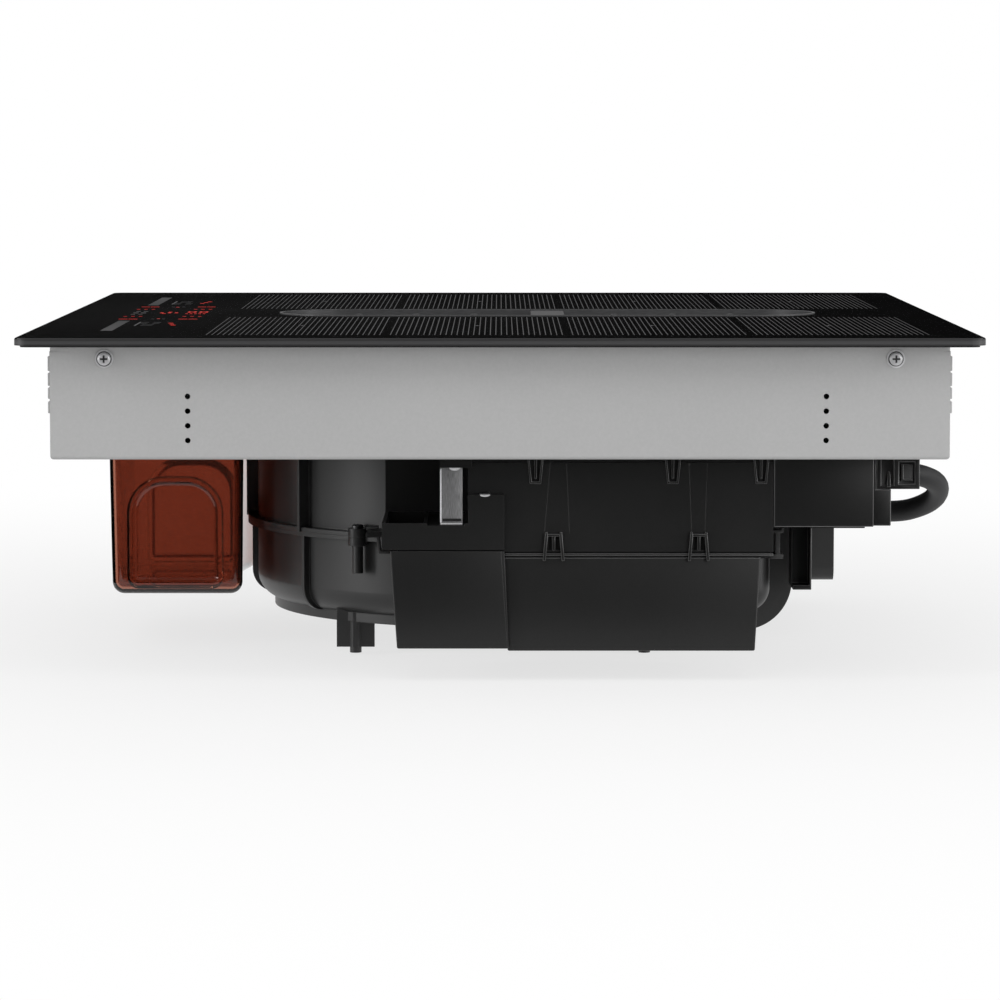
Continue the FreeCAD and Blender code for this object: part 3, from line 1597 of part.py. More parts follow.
def cable_channel():
    """Hollow channel behind the control box with a low end step; the power lead enters its back wall."""
    y0 = control_back_y + box_joint_gap
    outer = block(box_back_x, box_face_x, y0, channel_back_y, -channel_drop, -casing_drop)
    room = block(box_back_x + box_wall, box_face_x - box_wall, y0 + box_wall, channel_back_y - box_wall,
                 -channel_drop + box_wall, -casing_drop - box_wall)
    hole = gland_rod(0, gland_outer_radius(), -box_wall - over, over)
    step_top = -hood_drop - box_joint_gap
    step = block(box_back_x, box_face_x, channel_back_y - box_wall / 2, end_box_back_y,
                 -end_box_drop, step_top)
    step_room = block(box_back_x + box_wall, box_face_x - box_wall, channel_back_y - box_wall,
                      end_box_back_y - box_wall, -end_box_drop + box_wall, step_top - box_wall)
    return fused([outer, step]).cut(room).cut(step_room).cut(hole)


def connector_hood():
    """Hood over the lead's way out: open below and at the back, a lip and two windows in its side."""
    outer = block(hood_back_x, box_face_x, channel_back_y, hood_back_y, -hood_drop, -casing_drop)
    room = block(hood_back_x - over, box_face_x - hood_wall, channel_back_y - over, hood_back_y + over,
                 -hood_drop + hood_wall, -casing_drop - hood_wall)
    way_down = block(hood_back_x - over, box_face_x - hood_lip, channel_back_y - over, hood_back_y + over,
                     -hood_drop - over, -casing_drop - hood_wall)
    body = outer.cut(room).cut(way_down)
    pitch = (hood_back_y - channel_back_y) / hood_windows
    middle_z = (-casing_drop - hood_drop) / 2
    for n in range(hood_windows):
        y = channel_back_y + (n + 1 / 2) * pitch
        body = body.cut(block(box_face_x - hood_wall - over, box_face_x + over, y - hood_window_width / 2,
                              y + hood_window_width / 2, middle_z - hood_window_height / 2,
                              middle_z + hood_window_height / 2))
    return body


def junction_box():
    """Box beside the channel that takes the other end of the lead."""
    x1 = box_back_x
    outer = block(junction_left_x, x1, junction_front_y, channel_back_y, -junction_drop, -casing_drop)
    room = block(junction_left_x + box_wall, x1 - box_wall, junction_front_y + box_wall,
                 channel_back_y - box_wall, -junction_drop + junction_floor_thick, -casing_drop - box_wall)
    hole = gland_rod(-1, gland_outer_radius(), -box_wall - gland_back, gland_back)
    return outer.cut(room).cut(hole)


def gland_outer_radius():
    return lead_radius + gland_gap + gland_wall


def gland_rod(end, radius, start, stop):
    """Rod along the lead's straight run at one end; start and stop are distances past the back wall."""
    near, far = (lead_route[0], lead_route[1]) if end == 0 else (lead_route[-1], lead_route[-2])
    way = (point(*far) - point(*near)).normalize()
    at_wall = point(*near) + way * ((channel_back_y - near[1]) / way.y)
    return Part.makeCylinder(radius, stop - start, at_wall + way * start, way)


def lead_glands():
    """Rubber glands where the lead passes the two back walls."""
    glands = []
    for end in (0, -1):
        inner = -box_wall - gland_back
        sleeve = gland_rod(end, gland_outer_radius() - screw_thread_gap, inner, gland_front)
        lip = gland_rod(end, gland_outer_radius() + gland_lip, inner, -box_wall - gland_seat_gap)
        bore = gland_rod(end, lead_radius + gland_gap, inner - over, gland_front + over)
        glands.append(sleeve.fuse(lip).removeSplitter().cut(bore))
    return glands


def power_lead():
    """Round lead along straight runs joined by tangent arcs."""
    points = [point(*p) for p in lead_route]
    edges = []
    here = points[0]
    radii = []
    for before, corner, after in zip(points, points[1:], points[2:]):
        back = before - corner
        ahead = after - corner
        run = min(back.Length, ahead.Length)
        turn = math.pi - back.getAngle(ahead)
        reach = run * lead_arc_share
        radius = reach / math.tan(turn / 2)
        radii.append(radius)
        back.normalize()
        ahead.normalize()
        start = corner + back * reach
        end = corner + ahead * reach
        middle_way = (back + ahead).normalize()
        gap = radius / math.cos(turn / 2) - radius
        edges.append(Part.makeLine(here, start))
        edges.append(Part.Arc(start, corner + middle_way * gap, end).toShape())
        here = end
    edges.append(Part.makeLine(here, points[-1]))
    path = Part.Wire(edges)
    along = points[1] - points[0]
    profile = Part.Wire(Part.makeCircle(lead_radius, points[0], along))
    lead = Part.Wire(path).makePipeShell([profile], True, False)
    whole = math.pi * lead_radius * lead_radius * path.Length
    print("lead radii", ", ".join(f"{r:.1f}" for r in radii))
    print(f"lead length {path.Length:.1f}, volume share {lead.Volume / whole:.4f}")
    return lead


def driver_board():
    """Blower driver board in the control box."""
    z = -control_drop + box_wall + driver_board_rise
    inset = box_wall + driver_board_margin + control_draft
    return block(box_back_x + inset, box_face_x - inset, control_front_y + inset, control_back_y - 2 * inset,
                 z, z + board_thick)


def driver_posts():
    """Posts moulded in the control box that the driver board stands on."""
    z0 = -control_drop + box_wall / 2
    inset = box_wall + driver_board_margin + control_draft + standoff_radius
    return [pillar(standoff_radius, z0, -control_drop + box_wall + driver_board_rise, x, y)
            for x in (box_back_x + inset, box_face_x - inset)
            for y in (control_front_y + inset, control_back_y - inset - transformer_size)]


def transformer():
    z = -control_drop + box_wall + driver_board_rise + board_thick
    x = (box_back_x + box_face_x) / 2
    y = (control_front_y + control_back_y) / 2
    half = transformer_size / 2
    core = block(x - half, x + half, y - half / 2, y + half / 2, z, z + transformer_height)
    coil = rounded_slab(x - half / 2, x + half / 2, y - half, y + half, z + box_wall,
                        z + transformer_height - box_wall, control_corner_radius)
    return core.fuse(coil).removeSplitter()


def terminal_block():
    """Terminal block in the channel that takes the lead's end."""
    x, y, z = lead_route[0]
    x1 = box_face_x - 2 * box_wall
    base = -channel_drop + box_wall
    return block(x1 - terminal_width, x1, y - terminal_gap - terminal_depth, y - terminal_gap, base,
                 z + terminal_height / 2 - lead_radius / 2)


def tank_edges(inset, z, draft):
    """Tank outline: straight front and sides, and a back wall hollowed to clear the scroll."""
    x = tank_half_length - inset - draft
    y0 = tank_front_y + inset + draft
    y1 = tank_back_y - inset - draft
    bow = y1 - tank_back_hollow
    return [
        Part.makeLine(point(-x, y0, z), point(x, y0, z)),
        Part.makeLine(point(x, y0, z), point(x, y1, z)),
        Part.Arc(point(x, y1, z), point(0, bow, z), point(-x, y1, z)).toShape(),
        Part.makeLine(point(-x, y1, z), point(-x, y0, z)),
    ]


def tank_solid(inset, z_top, z_bottom):
    top = Part.Wire(tank_edges(inset, z_top, 0))
    bottom = Part.Wire(tank_edges(inset, z_bottom, tank_draft))
    return Part.makeLoft([bottom, top], True, True)


def tank_top():
    return -casing_drop - collar_drop - tank_top_gap


def grip_recess(side, grow):
    """Arched recess in a side wall, as a solid to add (grown) or to cut."""
    depth_y = tank_back_y - tank_front_y
    y0 = tank_front_y + grip_front_share * depth_y - grow
    y1 = tank_front_y + grip_back_share * depth_y + grow
    z0 = -grip_bottom_drop - grow
    z1 = -grip_top_drop + grow
    x0 = tank_half_length - grip_depth - grow
    slab = rounded_slab(y0, y1, z0, z1, x0, tank_half_length + over, grip_arch_radius + grow)
    slab = turned(turned(slab, point(0, 0, 1), 90), point(0, 1), 90)
    low = slab.BoundBox
    slab = moved(slab, x0 - low.XMin, y0 - low.YMin, z0 - low.ZMin)
    return slab if side > 0 else mirrored_x(slab)


def liquid_tank():
    """Clear tank: open at the top under the nozzle, with a grip recess in each side."""
    top = tank_top()
    base = -tank_drop
    outer = tank_solid(0, top, base)
    upright = [e for e in outer.Edges if e.BoundBox.ZLength > tank_drop / 4]
    outer = outer.makeFillet(tank_corner_radius, upright + edges_at(outer, base))
    inner = tank_solid(tank_wall, top + over, base + tank_floor)
    inner_upright = [e for e in inner.Edges if e.BoundBox.ZLength > tank_drop / 4]
    inner_low = edges_at(inner, base + tank_floor)
    inner = inner.makeFillet(tank_corner_radius - tank_wall, inner_upright + inner_low)
    for side in (-1, 1):
        inner = inner.cut(grip_recess(side, tank_wall))
    body = outer.cut(inner)
    for side in (-1, 1):
        body = body.cut(grip_recess(side, 0))
    return body


def tank_collar():
    """Frame under the casing that the tank hangs in, open round the drain nozzle."""
    top = -casing_drop
    plate = Part.Face(Part.Wire(tank_edges(collar_gap, top - collar_drop, 0)))
    plate = plate.extrude(point(0, 0, collar_drop))
    room = Part.Face(Part.Wire(tank_edges(tank_mouth_margin, top - collar_drop - over, 0)))
    return plate.cut(room.extrude(point(0, 0, collar_drop + 2 * over)))


def main():
    os.makedirs("parts", exist_ok=True)
    save("glass_top", glass_top_plate())
    save("edge_seal", edge_seal())
    save("vent_rim", vent_rim())
    save("vent_grille", vent_grille())
    save("well_gasket", well_gasket())
    save("air_well", air_well())
    save("grease_filter_frame", grease_filter_frame())
    save("grease_filter_mesh", grease_filter_mesh())
    save("casing_tray", casing_tray())
    screws, brackets = side_fasteners()
    save("casing_screws", *screws, *rear_screws())
    save("corner_brackets", *brackets)
    save("coil_windings", *coil_windings())
    save("coil_formers", *coil_formers())
    save("coil_ferrites", *coil_ferrites())
    save("coil_sensors", *coil_sensors())
    save("mica_sheets", *mica_sheets())
    save("coil_trays", *coil_trays())
    save("casing_posts", *tray_posts(), *board_standoffs())
    save("leaf_springs", *leaf_springs())
    save("touch_board", touch_board())
    save("touch_holder", touch_holder())
    save("display_modules", *display_modules())
    save("power_boards", *power_boards())
    save("heat_sinks", *heat_sinks())
    save("bus_capacitors", *bus_capacitors())
    save("filter_chokes", *filter_chokes())
    save("cooling_fan_frames", *fan_housings())
    save("cooling_fan_left", fan_rotor(-zone_centre_x))
    save("cooling_fan_right", fan_rotor(zone_centre_x))
    save("blower_gasket", scroll_gasket_ring())
    save("blower_upper_shell", blower_upper_shell())
    save("blower_lower_shell", blower_lower_shell())
    save("blower_shell_screws", *shell_screws())
    save("blower_inlet_ring", inlet_ring())
    save("impeller", impeller())
    save("motor_rotor", motor_rotor())
    save("motor_shaft", motor_shaft())
    save("motor_stator", motor_stator())
    save("motor_bearings", *bearings())
    save("motor_plate", motor_plate())
    save("motor_bushes", *motor_bushes())
    save("outlet_duct_near_shell", duct_near_shell())
    save("outlet_duct_far_shell", duct_far_shell())
    save("exhaust_spigot", exhaust_spigot())
    save("control_box_upper", control_box_upper())
    save("control_box_lower", control_box_lower())
    save("small_box", small_box())
    save("support_tray", support_tray())
    save("tray_screws", dome_screw(), *strap_screws())
    save("hanger_strap", hanger_strap())
    save("cable_channel", cable_channel())
    save("connector_hood", connector_hood())
    save("junction_box", junction_box())
    save("power_lead", power_lead())
    save("lead_glands", *lead_glands())
    save("driver_board", driver_board())
    save("transformer", transformer())
    save("terminal_block", terminal_block())
    save("liquid_tank", liquid_tank())
    save("tank_collar", tank_collar())


main()
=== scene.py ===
# %% [markdown]
# # An induction hob with a built-in extractor
#
# The object is a 60 cm drop-in hob: black glass on a pale sheet-steel casing, and under it a black blower
# scroll, a red-brown liquid tank, electronics boxes and a flat-duct outlet. The CAD nodes have the right
# places and sizes, so this lesson dresses them: all get a material, and those whose edges or small forms
# matter most are modelled again and stand in for their node.

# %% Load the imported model
import bmesh
import bpy
import math
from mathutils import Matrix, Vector


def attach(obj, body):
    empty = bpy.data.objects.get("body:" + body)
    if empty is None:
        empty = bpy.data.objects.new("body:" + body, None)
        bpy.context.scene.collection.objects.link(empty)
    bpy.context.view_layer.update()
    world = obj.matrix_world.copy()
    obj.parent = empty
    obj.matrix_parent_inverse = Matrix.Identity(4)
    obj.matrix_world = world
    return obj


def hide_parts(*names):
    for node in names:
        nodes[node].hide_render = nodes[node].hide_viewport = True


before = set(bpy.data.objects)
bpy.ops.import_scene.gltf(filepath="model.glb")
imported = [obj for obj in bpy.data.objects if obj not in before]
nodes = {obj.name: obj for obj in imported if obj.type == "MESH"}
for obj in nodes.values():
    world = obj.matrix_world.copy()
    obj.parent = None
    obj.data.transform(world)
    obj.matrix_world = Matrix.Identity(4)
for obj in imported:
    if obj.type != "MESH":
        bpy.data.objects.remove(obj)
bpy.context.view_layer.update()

# %% [markdown]
# ## Units and the camera
#
# All places are noted in millimetres and turned to metres by one factor. The photograph was taken from the
# hob's right side by a long lens a little above the glass. The camera is set first.

# %% Camera
MM = 0.001
CAMERA_PLACE = (2525.93, 0, 121.746)
DOWNWARD_PITCH = 5.207


def mm(*values):
    return tuple(value * MM for value in values)


def link_new(name, data):
    made = bpy.data.objects.new(name, data)
    bpy.context.scene.collection.objects.link(made)
    return made


camera_data = bpy.data.cameras.new("photo_camera")
camera_data.sensor_width = 36
camera_data.lens = 150.69
camera_data.clip_start = 0.05
camera_data.clip_end = 60
camera = link_new("photo_camera", camera_data)
camera.location = mm(*CAMERA_PLACE)
camera.rotation_euler = (math.radians(90 - DOWNWARD_PITCH), 0, math.radians(90))
bpy.context.scene.camera = camera
bpy.context.scene.view_settings.view_transform = "Standard"
print("camera at", [round(value, 3) for value in camera.location])

# %% [markdown]
# ## Working by hand, in code
#
# Blender's edit operators act on whatever is selected. These helpers do what a hand does: make one object
# active, pick its faces or edges by place and direction, and edit them. Nothing else is ever selected,
# because the loaded nodes must not move.

# %% Picking faces and edges
def activate(piece):
    bpy.ops.object.select_all(action="DESELECT")
    piece.select_set(True)
    bpy.context.view_layer.objects.active = piece


def enter_edit(piece, action):
    activate(piece)
    bpy.ops.object.mode_set(mode="EDIT")
    bpy.ops.mesh.select_all(action=action)


def leave_edit():
    bpy.ops.object.mode_set(mode="OBJECT")


def pick_faces(piece, wanted):
    """Enter edit mode with just the faces selected whose middle and normal pass the test."""
    enter_edit(piece, "DESELECT")
    bpy.ops.mesh.select_mode(type="FACE")
    for face in bmesh.from_edit_mesh(piece.data).faces:
        if wanted(face.calc_center_median() / MM, face.normal):
            face.select_set(True)
    bmesh.update_edit_mesh(piece.data)


def pick_edges(piece, wanted):
    """Enter edit mode with just the edges selected whose middle and direction pass the test."""
    enter_edit(piece, "DESELECT")
    bpy.ops.mesh.select_mode(type="EDGE")
    for edge in bmesh.from_edit_mesh(piece.data).edges:
        start, end = (vertex.co for vertex in edge.verts)
        if wanted((start + end) / 2 / MM, (end - start).normalized()):
            edge.select_set(True)
    bmesh.update_edit_mesh(piece.data)


def looks_down(place, normal):
    return normal.z < -0.9


def upright(way):
    return abs(way.z) > 0.9


# %% Editing what is picked
def move_picked(x, y, z):
    bpy.ops.transform.translate(value=mm(x, y, z))
    leave_edit()


def extrude_picked(x, y, z):
    bpy.ops.mesh.extrude_region_move(TRANSFORM_OT_translate={"value": mm(x, y, z)})
    leave_edit()


def scale_picked(factors, centre):
    bpy.ops.transform.resize(value=factors, center_override=mm(*centre))
    leave_edit()


def bevel_picked(width, segments, clamp=False):
    bpy.ops.mesh.bevel(offset=width * MM, segments=segments, affect="EDGES", clamp_overlap=clamp)
    leave_edit()


# %% Whole pieces
def apply_modifier(piece, kind, **settings):
    activate(piece)
    modifier = piece.modifiers.new(kind.lower(), kind)
    for key, value in settings.items():
        setattr(modifier, key, value)
    bpy.ops.object.modifier_apply(modifier=modifier.name)
    return piece


def settle(piece, name=None):
    """Move the object's place, turn and scale into its mesh, and name both."""
    activate(piece)
    bpy.ops.object.transform_apply(location=True, rotation=True, scale=True)
    if name:
        piece.name = name
        piece.data.name = name
    return piece


def block(name, x0, x1, y0, y1, z0, z1):
    """A cube primitive at its size and place, in millimetres."""
    middle = mm((x0 + x1) / 2, (y0 + y1) / 2, (z0 + z1) / 2)
    bpy.ops.mesh.primitive_cube_add(size=1, location=middle, scale=mm(x1 - x0, y1 - y0, z1 - z0))
    return settle(bpy.context.object, name)


POST_TURNS = {"X": (0, math.radians(90), 0), "Y": (math.radians(90), 0, 0), "Z": (0, 0, 0)}


def post(name, radius, length, middle, axis="Z", sides=32):
    """A cylinder along one axis, in millimetres."""
    bpy.ops.mesh.primitive_cylinder_add(vertices=sides, radius=radius * MM, depth=length * MM,
                                        location=mm(*middle), rotation=POST_TURNS[axis])
    return settle(bpy.context.object, name)


def twin(piece, y=0, mirror=False):
    """A copy with its own mesh, moved along Y or mirrored in the plane Y = 0."""
    other = link_new(piece.name, piece.data.copy())
    other.location.y = y * MM
    if mirror:
        other.scale.y = -1
        settle(other)
        enter_edit(other, "SELECT")
        bpy.ops.mesh.normals_make_consistent(inside=False)
        leave_edit()
    return settle(other)


def join(name, pieces):
    activate(pieces[0])
    for piece in pieces[1:]:
        piece.select_set(True)
    bpy.ops.object.join()
    return settle(bpy.context.object, name)


def cut(piece, cutter, how="DIFFERENCE"):
    apply_modifier(piece, "BOOLEAN", object=cutter, operation=how, solver="MANIFOLD")
    bpy.data.objects.remove(cutter)
    return piece


def add(piece, other):
    return cut(piece, other, "UNION")


def round_edges(piece, width, segments=2, angle=30, edge_slot=-1):
    """Round every sharp edge. The new faces can take another of the piece's materials."""
    return apply_modifier(piece, "BEVEL", width=width * MM, segments=segments, limit_method="ANGLE",
                          angle_limit=math.radians(angle), harden_normals=False, material=edge_slot)


def smooth(piece, angle=32):
    activate(piece)
    bpy.ops.object.shade_smooth_by_angle(angle=math.radians(angle))
    return piece


def repeat(piece, count, step):
    return apply_modifier(piece, "ARRAY", count=count, use_relative_offset=False, use_constant_offset=True,
                          constant_offset_displace=mm(*step))


def tell(piece):
    print(piece.name, len(piece.data.polygons), "faces")


# %% [markdown]
# ## Shader groups for the small effects
#
# Real surfaces are never one flat value. Moulded plastic has a fine spark-eroded grain and faint clouds,
# and steel has drawn lines. Each effect is one node group with named sockets, built once and given other
# numbers in each material.

# %% Node helpers
def feed(tree, target, inputs):
    """Fill a node's inputs. A socket is wired in, a node by its first live output; a value is entered."""
    for label, value in inputs.items():
        if isinstance(value, bpy.types.Node):
            value = next(socket for socket in value.outputs if socket.enabled)
        if isinstance(value, bpy.types.NodeSocket):
            tree.links.new(value, target.inputs[label])
        else:
            target.inputs[label].default_value = value


def node(tree, kind, inputs=None, **settings):
    made = tree.nodes.new("ShaderNode" + kind)
    for key, value in settings.items():
        setattr(made, key, value)
    feed(tree, made, inputs or {})
    return made


def mix(tree, factor, first, second):
    """One colour fading to another."""
    return node(tree, "Mix", {"Factor": factor, "A": first, "B": second}, data_type="RGBA")


def calc(tree, operation, *values):
    return node(tree, "Math", dict(enumerate(values)), operation=operation)


def remap(tree, value, side, low, high, **settings):
    """A Map Range node with the ends of its From side or of its To side set."""
    return node(tree, "MapRange", {"Value": value, side + " Min": low, side + " Max": high}, **settings)


def new_group(name, inputs, outputs):
    """A group with named sockets: the group, the sockets that it is given and its output node."""
    group = bpy.data.node_groups.new(name, "ShaderNodeTree")
    for way, sockets in (("INPUT", inputs), ("OUTPUT", outputs)):
        for label, kind in sockets.items():
            group.interface.new_socket(name=label, in_out=way, socket_type="NodeSocket" + kind)
    return group, group.nodes.new("NodeGroupInput").outputs, group.nodes.new("NodeGroupOutput")


def tone(red, green, blue):
    """Colour as the picture shows it, 0 to 255, turned to the linear values that a shader takes."""
    def linear(value):
        share = value / 255
        return share / 12.92 if share <= 0.04045 else ((share + 0.055) / 1.055) ** 2.4
    return (linear(red), linear(green), linear(blue), 1)


def grey(level):
    return tone(level, level, level)


LOOK = {"Dark": "Color", "Light": "Color", "Smooth": "Float", "Rough": "Float"}
SURFACE = {"Colour": "Color", "Roughness": "Float", "Height": "Float"}

# %% Fine moulded grain with faint clouds
grain_group, given, result = new_group(
    "moulded_grain", {"Vector": "Vector", "Grain scale": "Float", "Cloud scale": "Float", **LOOK}, SURFACE)
cloud = node(grain_group, "TexNoise", {"Vector": given["Vector"], "Scale": given["Cloud scale"], "Detail": 3})
grain = node(grain_group, "TexNoise", {"Vector": given["Vector"], "Scale": given["Grain scale"], "Detail": 2})
both = calc(grain_group, "MULTIPLY_ADD", cloud, 0.5, calc(grain_group, "MULTIPLY", grain, 0.5))
blend = mix(grain_group, remap(grain_group, both, "From", 0.35, 0.65), given["Dark"], given["Light"])
gloss = remap(grain_group, both, "To", given["Smooth"], given["Rough"])
feed(grain_group, result, {"Colour": blend, "Roughness": gloss, "Height": grain})
print("group", grain_group.name)

# %% Drawn lines, as on rolled or brushed steel
lines_group, given, result = new_group(
    "drawn_lines", {"Vector": "Vector", "Stretch": "Vector", **LOOK}, SURFACE)
squeeze = node(lines_group, "VectorMath", {0: given["Vector"], 1: given["Stretch"]}, operation="MULTIPLY")
streak = node(lines_group, "TexNoise", {"Vector": squeeze, "Scale": 1, "Detail": 4})
shade = mix(lines_group, remap(lines_group, streak, "From", 0.3, 0.7), given["Dark"], given["Light"])
polish = remap(lines_group, streak, "To", given["Smooth"], given["Rough"])
feed(lines_group, result, {"Colour": shade, "Roughness": polish, "Height": streak})
print("group", lines_group.name)

# %% [markdown]
# ## Materials
#
# Most of the object is three things: satin black plastic, pale zinc-coated sheet and black glass. One maker
# builds any solid finish from the two groups; the glass, the tank and the lit marks differ in kind and get
# their own cells. A Bevel node rounds the light on the sharp edges of the CAD solids, as a real mould does.

# %% The makers of solid finishes
def open_up(material):
    """A material's node tree, its shader and the object coordinates for its textures."""
    tree = material.node_tree
    return tree, tree.nodes["Principled BSDF"], node(tree, "TexCoord").outputs["Object"]


def new_material(name):
    material = bpy.data.materials.new(name)
    material.use_nodes = True
    return material


def surface(name, group, pattern, look, bump, bevel, levels):
    """A solid material: one group gives its colour, its roughness and its small relief."""
    dark, light, (smooth_end, rough_end) = look
    material = new_material(name)
    tree, shader, place = open_up(material)
    inputs = {"Vector": place, "Dark": dark, "Light": light, "Smooth": smooth_end, "Rough": rough_end}
    made = node(tree, "Group", inputs | pattern, node_tree=group)
    relief = node(tree, "Bump", {"Strength": bump, "Distance": 0.1 * MM, "Height": made.outputs["Height"]})
    if bevel:
        feed(tree, relief, {"Normal": node(tree, "Bevel", {"Radius": bevel * MM}, samples=6)})
    feed(tree, shader, {"Base Color": made.outputs["Colour"], "Roughness": made.outputs["Roughness"],
                        "Normal": relief, **levels})
    return material


def finish(name, *look, scales=(900, 14), metallic=0.0, specular=0.5, bump=0.05, bevel=0.0):
    """A moulded, cast or painted surface: fine grain and faint clouds."""
    return surface(name, grain_group, {"Grain scale": scales[0], "Cloud scale": scales[1]}, look, bump, bevel,
                   {"Metallic": metallic, "Specular IOR Level": specular})


def drawn(name, *look, stretch, metallic=1.0, bump=0.08, bevel=0.0):
    """Rolled or brushed metal: long fine lines."""
    return surface(name, lines_group, {"Stretch": stretch}, look, bump, bevel, {"Metallic": metallic})


# %% Plastics, sheet and small parts
black_plastic = finish("black_plastic", grey(28), grey(32), (0.34, 0.46), bevel=0.7)
box_plastic = finish("box_plastic", grey(19), grey(23), (0.36, 0.48), specular=0.38, bevel=0.3)
# The rounded edges of the mouldings take this much lighter grey as a painted highlight.
box_edge_highlight = finish("box_edge_highlight", grey(74), grey(84), (0.25, 0.35), specular=0.6)
# The hooks get a lighter copy of the black moulding: light on their inner faces, painted into the colour.
hook_plastic_lit = finish("hook_plastic_lit", grey(48), grey(54), (0.4, 0.55), bevel=0.3)
zinc_sheet = finish("zinc_sheet", grey(168), grey(173), (0.42, 0.5), scales=(600, 6), specular=0.3, bump=0.02,
                    bevel=0.4)
foam_tape = finish("foam_tape", grey(34), grey(46), (0.85, 0.95), scales=(1500, 60), bump=0.6)
rubber = finish("rubber", tone(26, 26, 27), tone(33, 33, 34), (0.5, 0.65), specular=0.35)
grey_plastic = finish("grey_plastic", tone(120, 121, 123), tone(134, 135, 137), (0.4, 0.55))
dark_plastic = finish("dark_plastic", tone(42, 43, 45), tone(52, 53, 55), (0.4, 0.55))
board_lacquer = finish("board_lacquer", tone(16, 74, 44), tone(22, 92, 55), (0.25, 0.4), scales=(500, 90))
ferrite = finish("ferrite", tone(50, 50, 52), tone(64, 64, 66), (0.6, 0.8), bump=0.3)
mica = finish("mica", tone(178, 168, 142), tone(201, 192, 168), (0.35, 0.6), scales=(300, 40), bump=0.3)
silicone = finish("silicone", tone(186, 184, 178), tone(199, 197, 191), (0.5, 0.6))
capacitor_sleeve = finish("capacitor_sleeve", tone(34, 42, 70), tone(42, 52, 84), (0.25, 0.35))
bearing_bronze = finish("bearing_bronze", tone(150, 118, 70), tone(170, 136, 84), (0.35, 0.5), metallic=1.0)
display_window = finish("display_window", tone(40, 12, 12), tone(50, 15, 15), (0.1, 0.2))
grille_coat = finish("grille_coat", tone(44, 44, 45), tone(50, 50, 51), (0.5, 0.62), specular=0.25, bump=0.03,
                     bevel=0.5)
print("finishes", len(bpy.data.materials))

# %% Metals
bright_steel = drawn("bright_steel", tone(168, 168, 170), tone(205, 205, 207), (0.18, 0.34),
                     stretch=(300, 300, 60), bevel=0.2)
strap_steel = drawn("strap_steel", tone(112, 112, 113), tone(168, 168, 169), (0.34, 0.5),
                    stretch=(60, 7000, 240), metallic=0.55)
# The near-white grey of the strap's edge strips is a painted highlight.
strap_edge_highlight = finish("strap_edge_highlight", tone(222, 222, 224), tone(238, 238, 240), (0.3, 0.4), bump=0.02)
rim_steel = drawn("rim_steel", tone(62, 62, 63), tone(76, 76, 77), (0.4, 0.52), stretch=(200, 200, 2000),
                  metallic=0.3, bevel=0.2)
screw_zinc = drawn("screw_zinc", tone(196, 196, 197), tone(226, 226, 228), (0.28, 0.42), stretch=(90, 90, 90),
                   metallic=0.4, bump=0.02)
dark_screw = drawn("dark_screw", tone(70, 70, 71), tone(92, 92, 93), (0.35, 0.5), stretch=(90, 90, 90),
                   bump=0.02)
mill_aluminium = drawn("mill_aluminium", tone(176, 177, 179), tone(206, 207, 209), (0.3, 0.45),
                       stretch=(900, 40, 900))
motor_steel = drawn("motor_steel", tone(132, 132, 134), tone(160, 160, 162), (0.3, 0.45),
                    stretch=(300, 300, 300))
litz_copper = drawn("litz_copper", tone(150, 84, 48), tone(196, 116, 70), (0.3, 0.5), stretch=(900, 900, 900),
                    bump=0.5)
print("finishes and metals", len(bpy.data.materials))

# %% [markdown]
# ## Black glass with a ground edge
#
# The plate is black right through, so it is an opaque shader with a polished top. Its edge is ground, not
# polished: it scatters light and reads dark grey. Down the edge that grey is painted lighter low down, a
# painted highlight, and darker towards the top. Height tells edge from top, so one material serves the
# whole plate.

# %% Glass material
GLASS_TOP = 5.0
GLASS_THICK = 4.0
BEVEL_HEIGHT = 0.6
GROUND_ROUGHNESS = 0.5
# The lighter edge stops low down are a painted highlight; the edge darkens towards the top.
EDGE_HIGHLIGHT_STOPS = ((0.25, tone(56, 56, 57)), (0.6, tone(52, 52, 53)), (0.78, tone(24, 24, 25)))

black_glass = new_material("black_glass")
tree, shader, place = open_up(black_glass)
height = node(tree, "SeparateXYZ", {0: place}).outputs["Z"]
is_top = calc(tree, "GREATER_THAN", height, (GLASS_TOP - BEVEL_HEIGHT) * MM)
top_rough = remap(tree, node(tree, "TexNoise", {"Vector": place, "Scale": 7}), "To", 0.05, 0.11)
rough = node(tree, "Mix", {"Factor": is_top, "A": GROUND_ROUGHNESS, "B": top_rough})
depth = remap(tree, height, "From", (GLASS_TOP - GLASS_THICK) * MM, GLASS_TOP * MM)
colour = node(tree, "ValToRGB", {"Fac": depth})
stops = colour.color_ramp.elements
stops[0].position, stops[0].color = 0.1, tone(30, 30, 31)
stops[1].position, stops[1].color = 0.86, tone(8, 8, 9)
for share, level in EDGE_HIGHLIGHT_STOPS:
    stops.new(share).color = level
feed(tree, shader, {"Base Color": colour, "Roughness": rough})
print("glass nodes", len(tree.nodes))

# %% [markdown]
# ## Clear red-brown plastic
#
# The tank is injection-moulded clear plastic with a strong red-brown tint. Light passes four walls on its
# way through, so the tint of one wall is much lighter than what the eye sees.

# %% Tank material
REFRACTION = 1.49

amber_clear = new_material("amber_clear")
tree, shader, place = open_up(amber_clear)
flow = node(tree, "TexNoise", {"Vector": place, "Scale": 18})
feed(tree, shader, {"Base Color": mix(tree, flow, tone(156, 98, 79), tone(166, 108, 88)),
                    "Roughness": remap(tree, flow, "To", 0.02, 0.06), "Transmission Weight": 1,
                    "IOR": REFRACTION})
print("tank nodes", len(tree.nodes))

# %% [markdown]
# ## Printed and lit marks
#
# The cooking zones are printed on the glass as fine grey lines, and the controls shine through it in red.
# The print is a little rough and mottled; the lit marks glow at a level that shows as their own colour.

# %% Print and light materials
SLIDER_NEAR_X = 100
SLIDER_FAR_X = 214


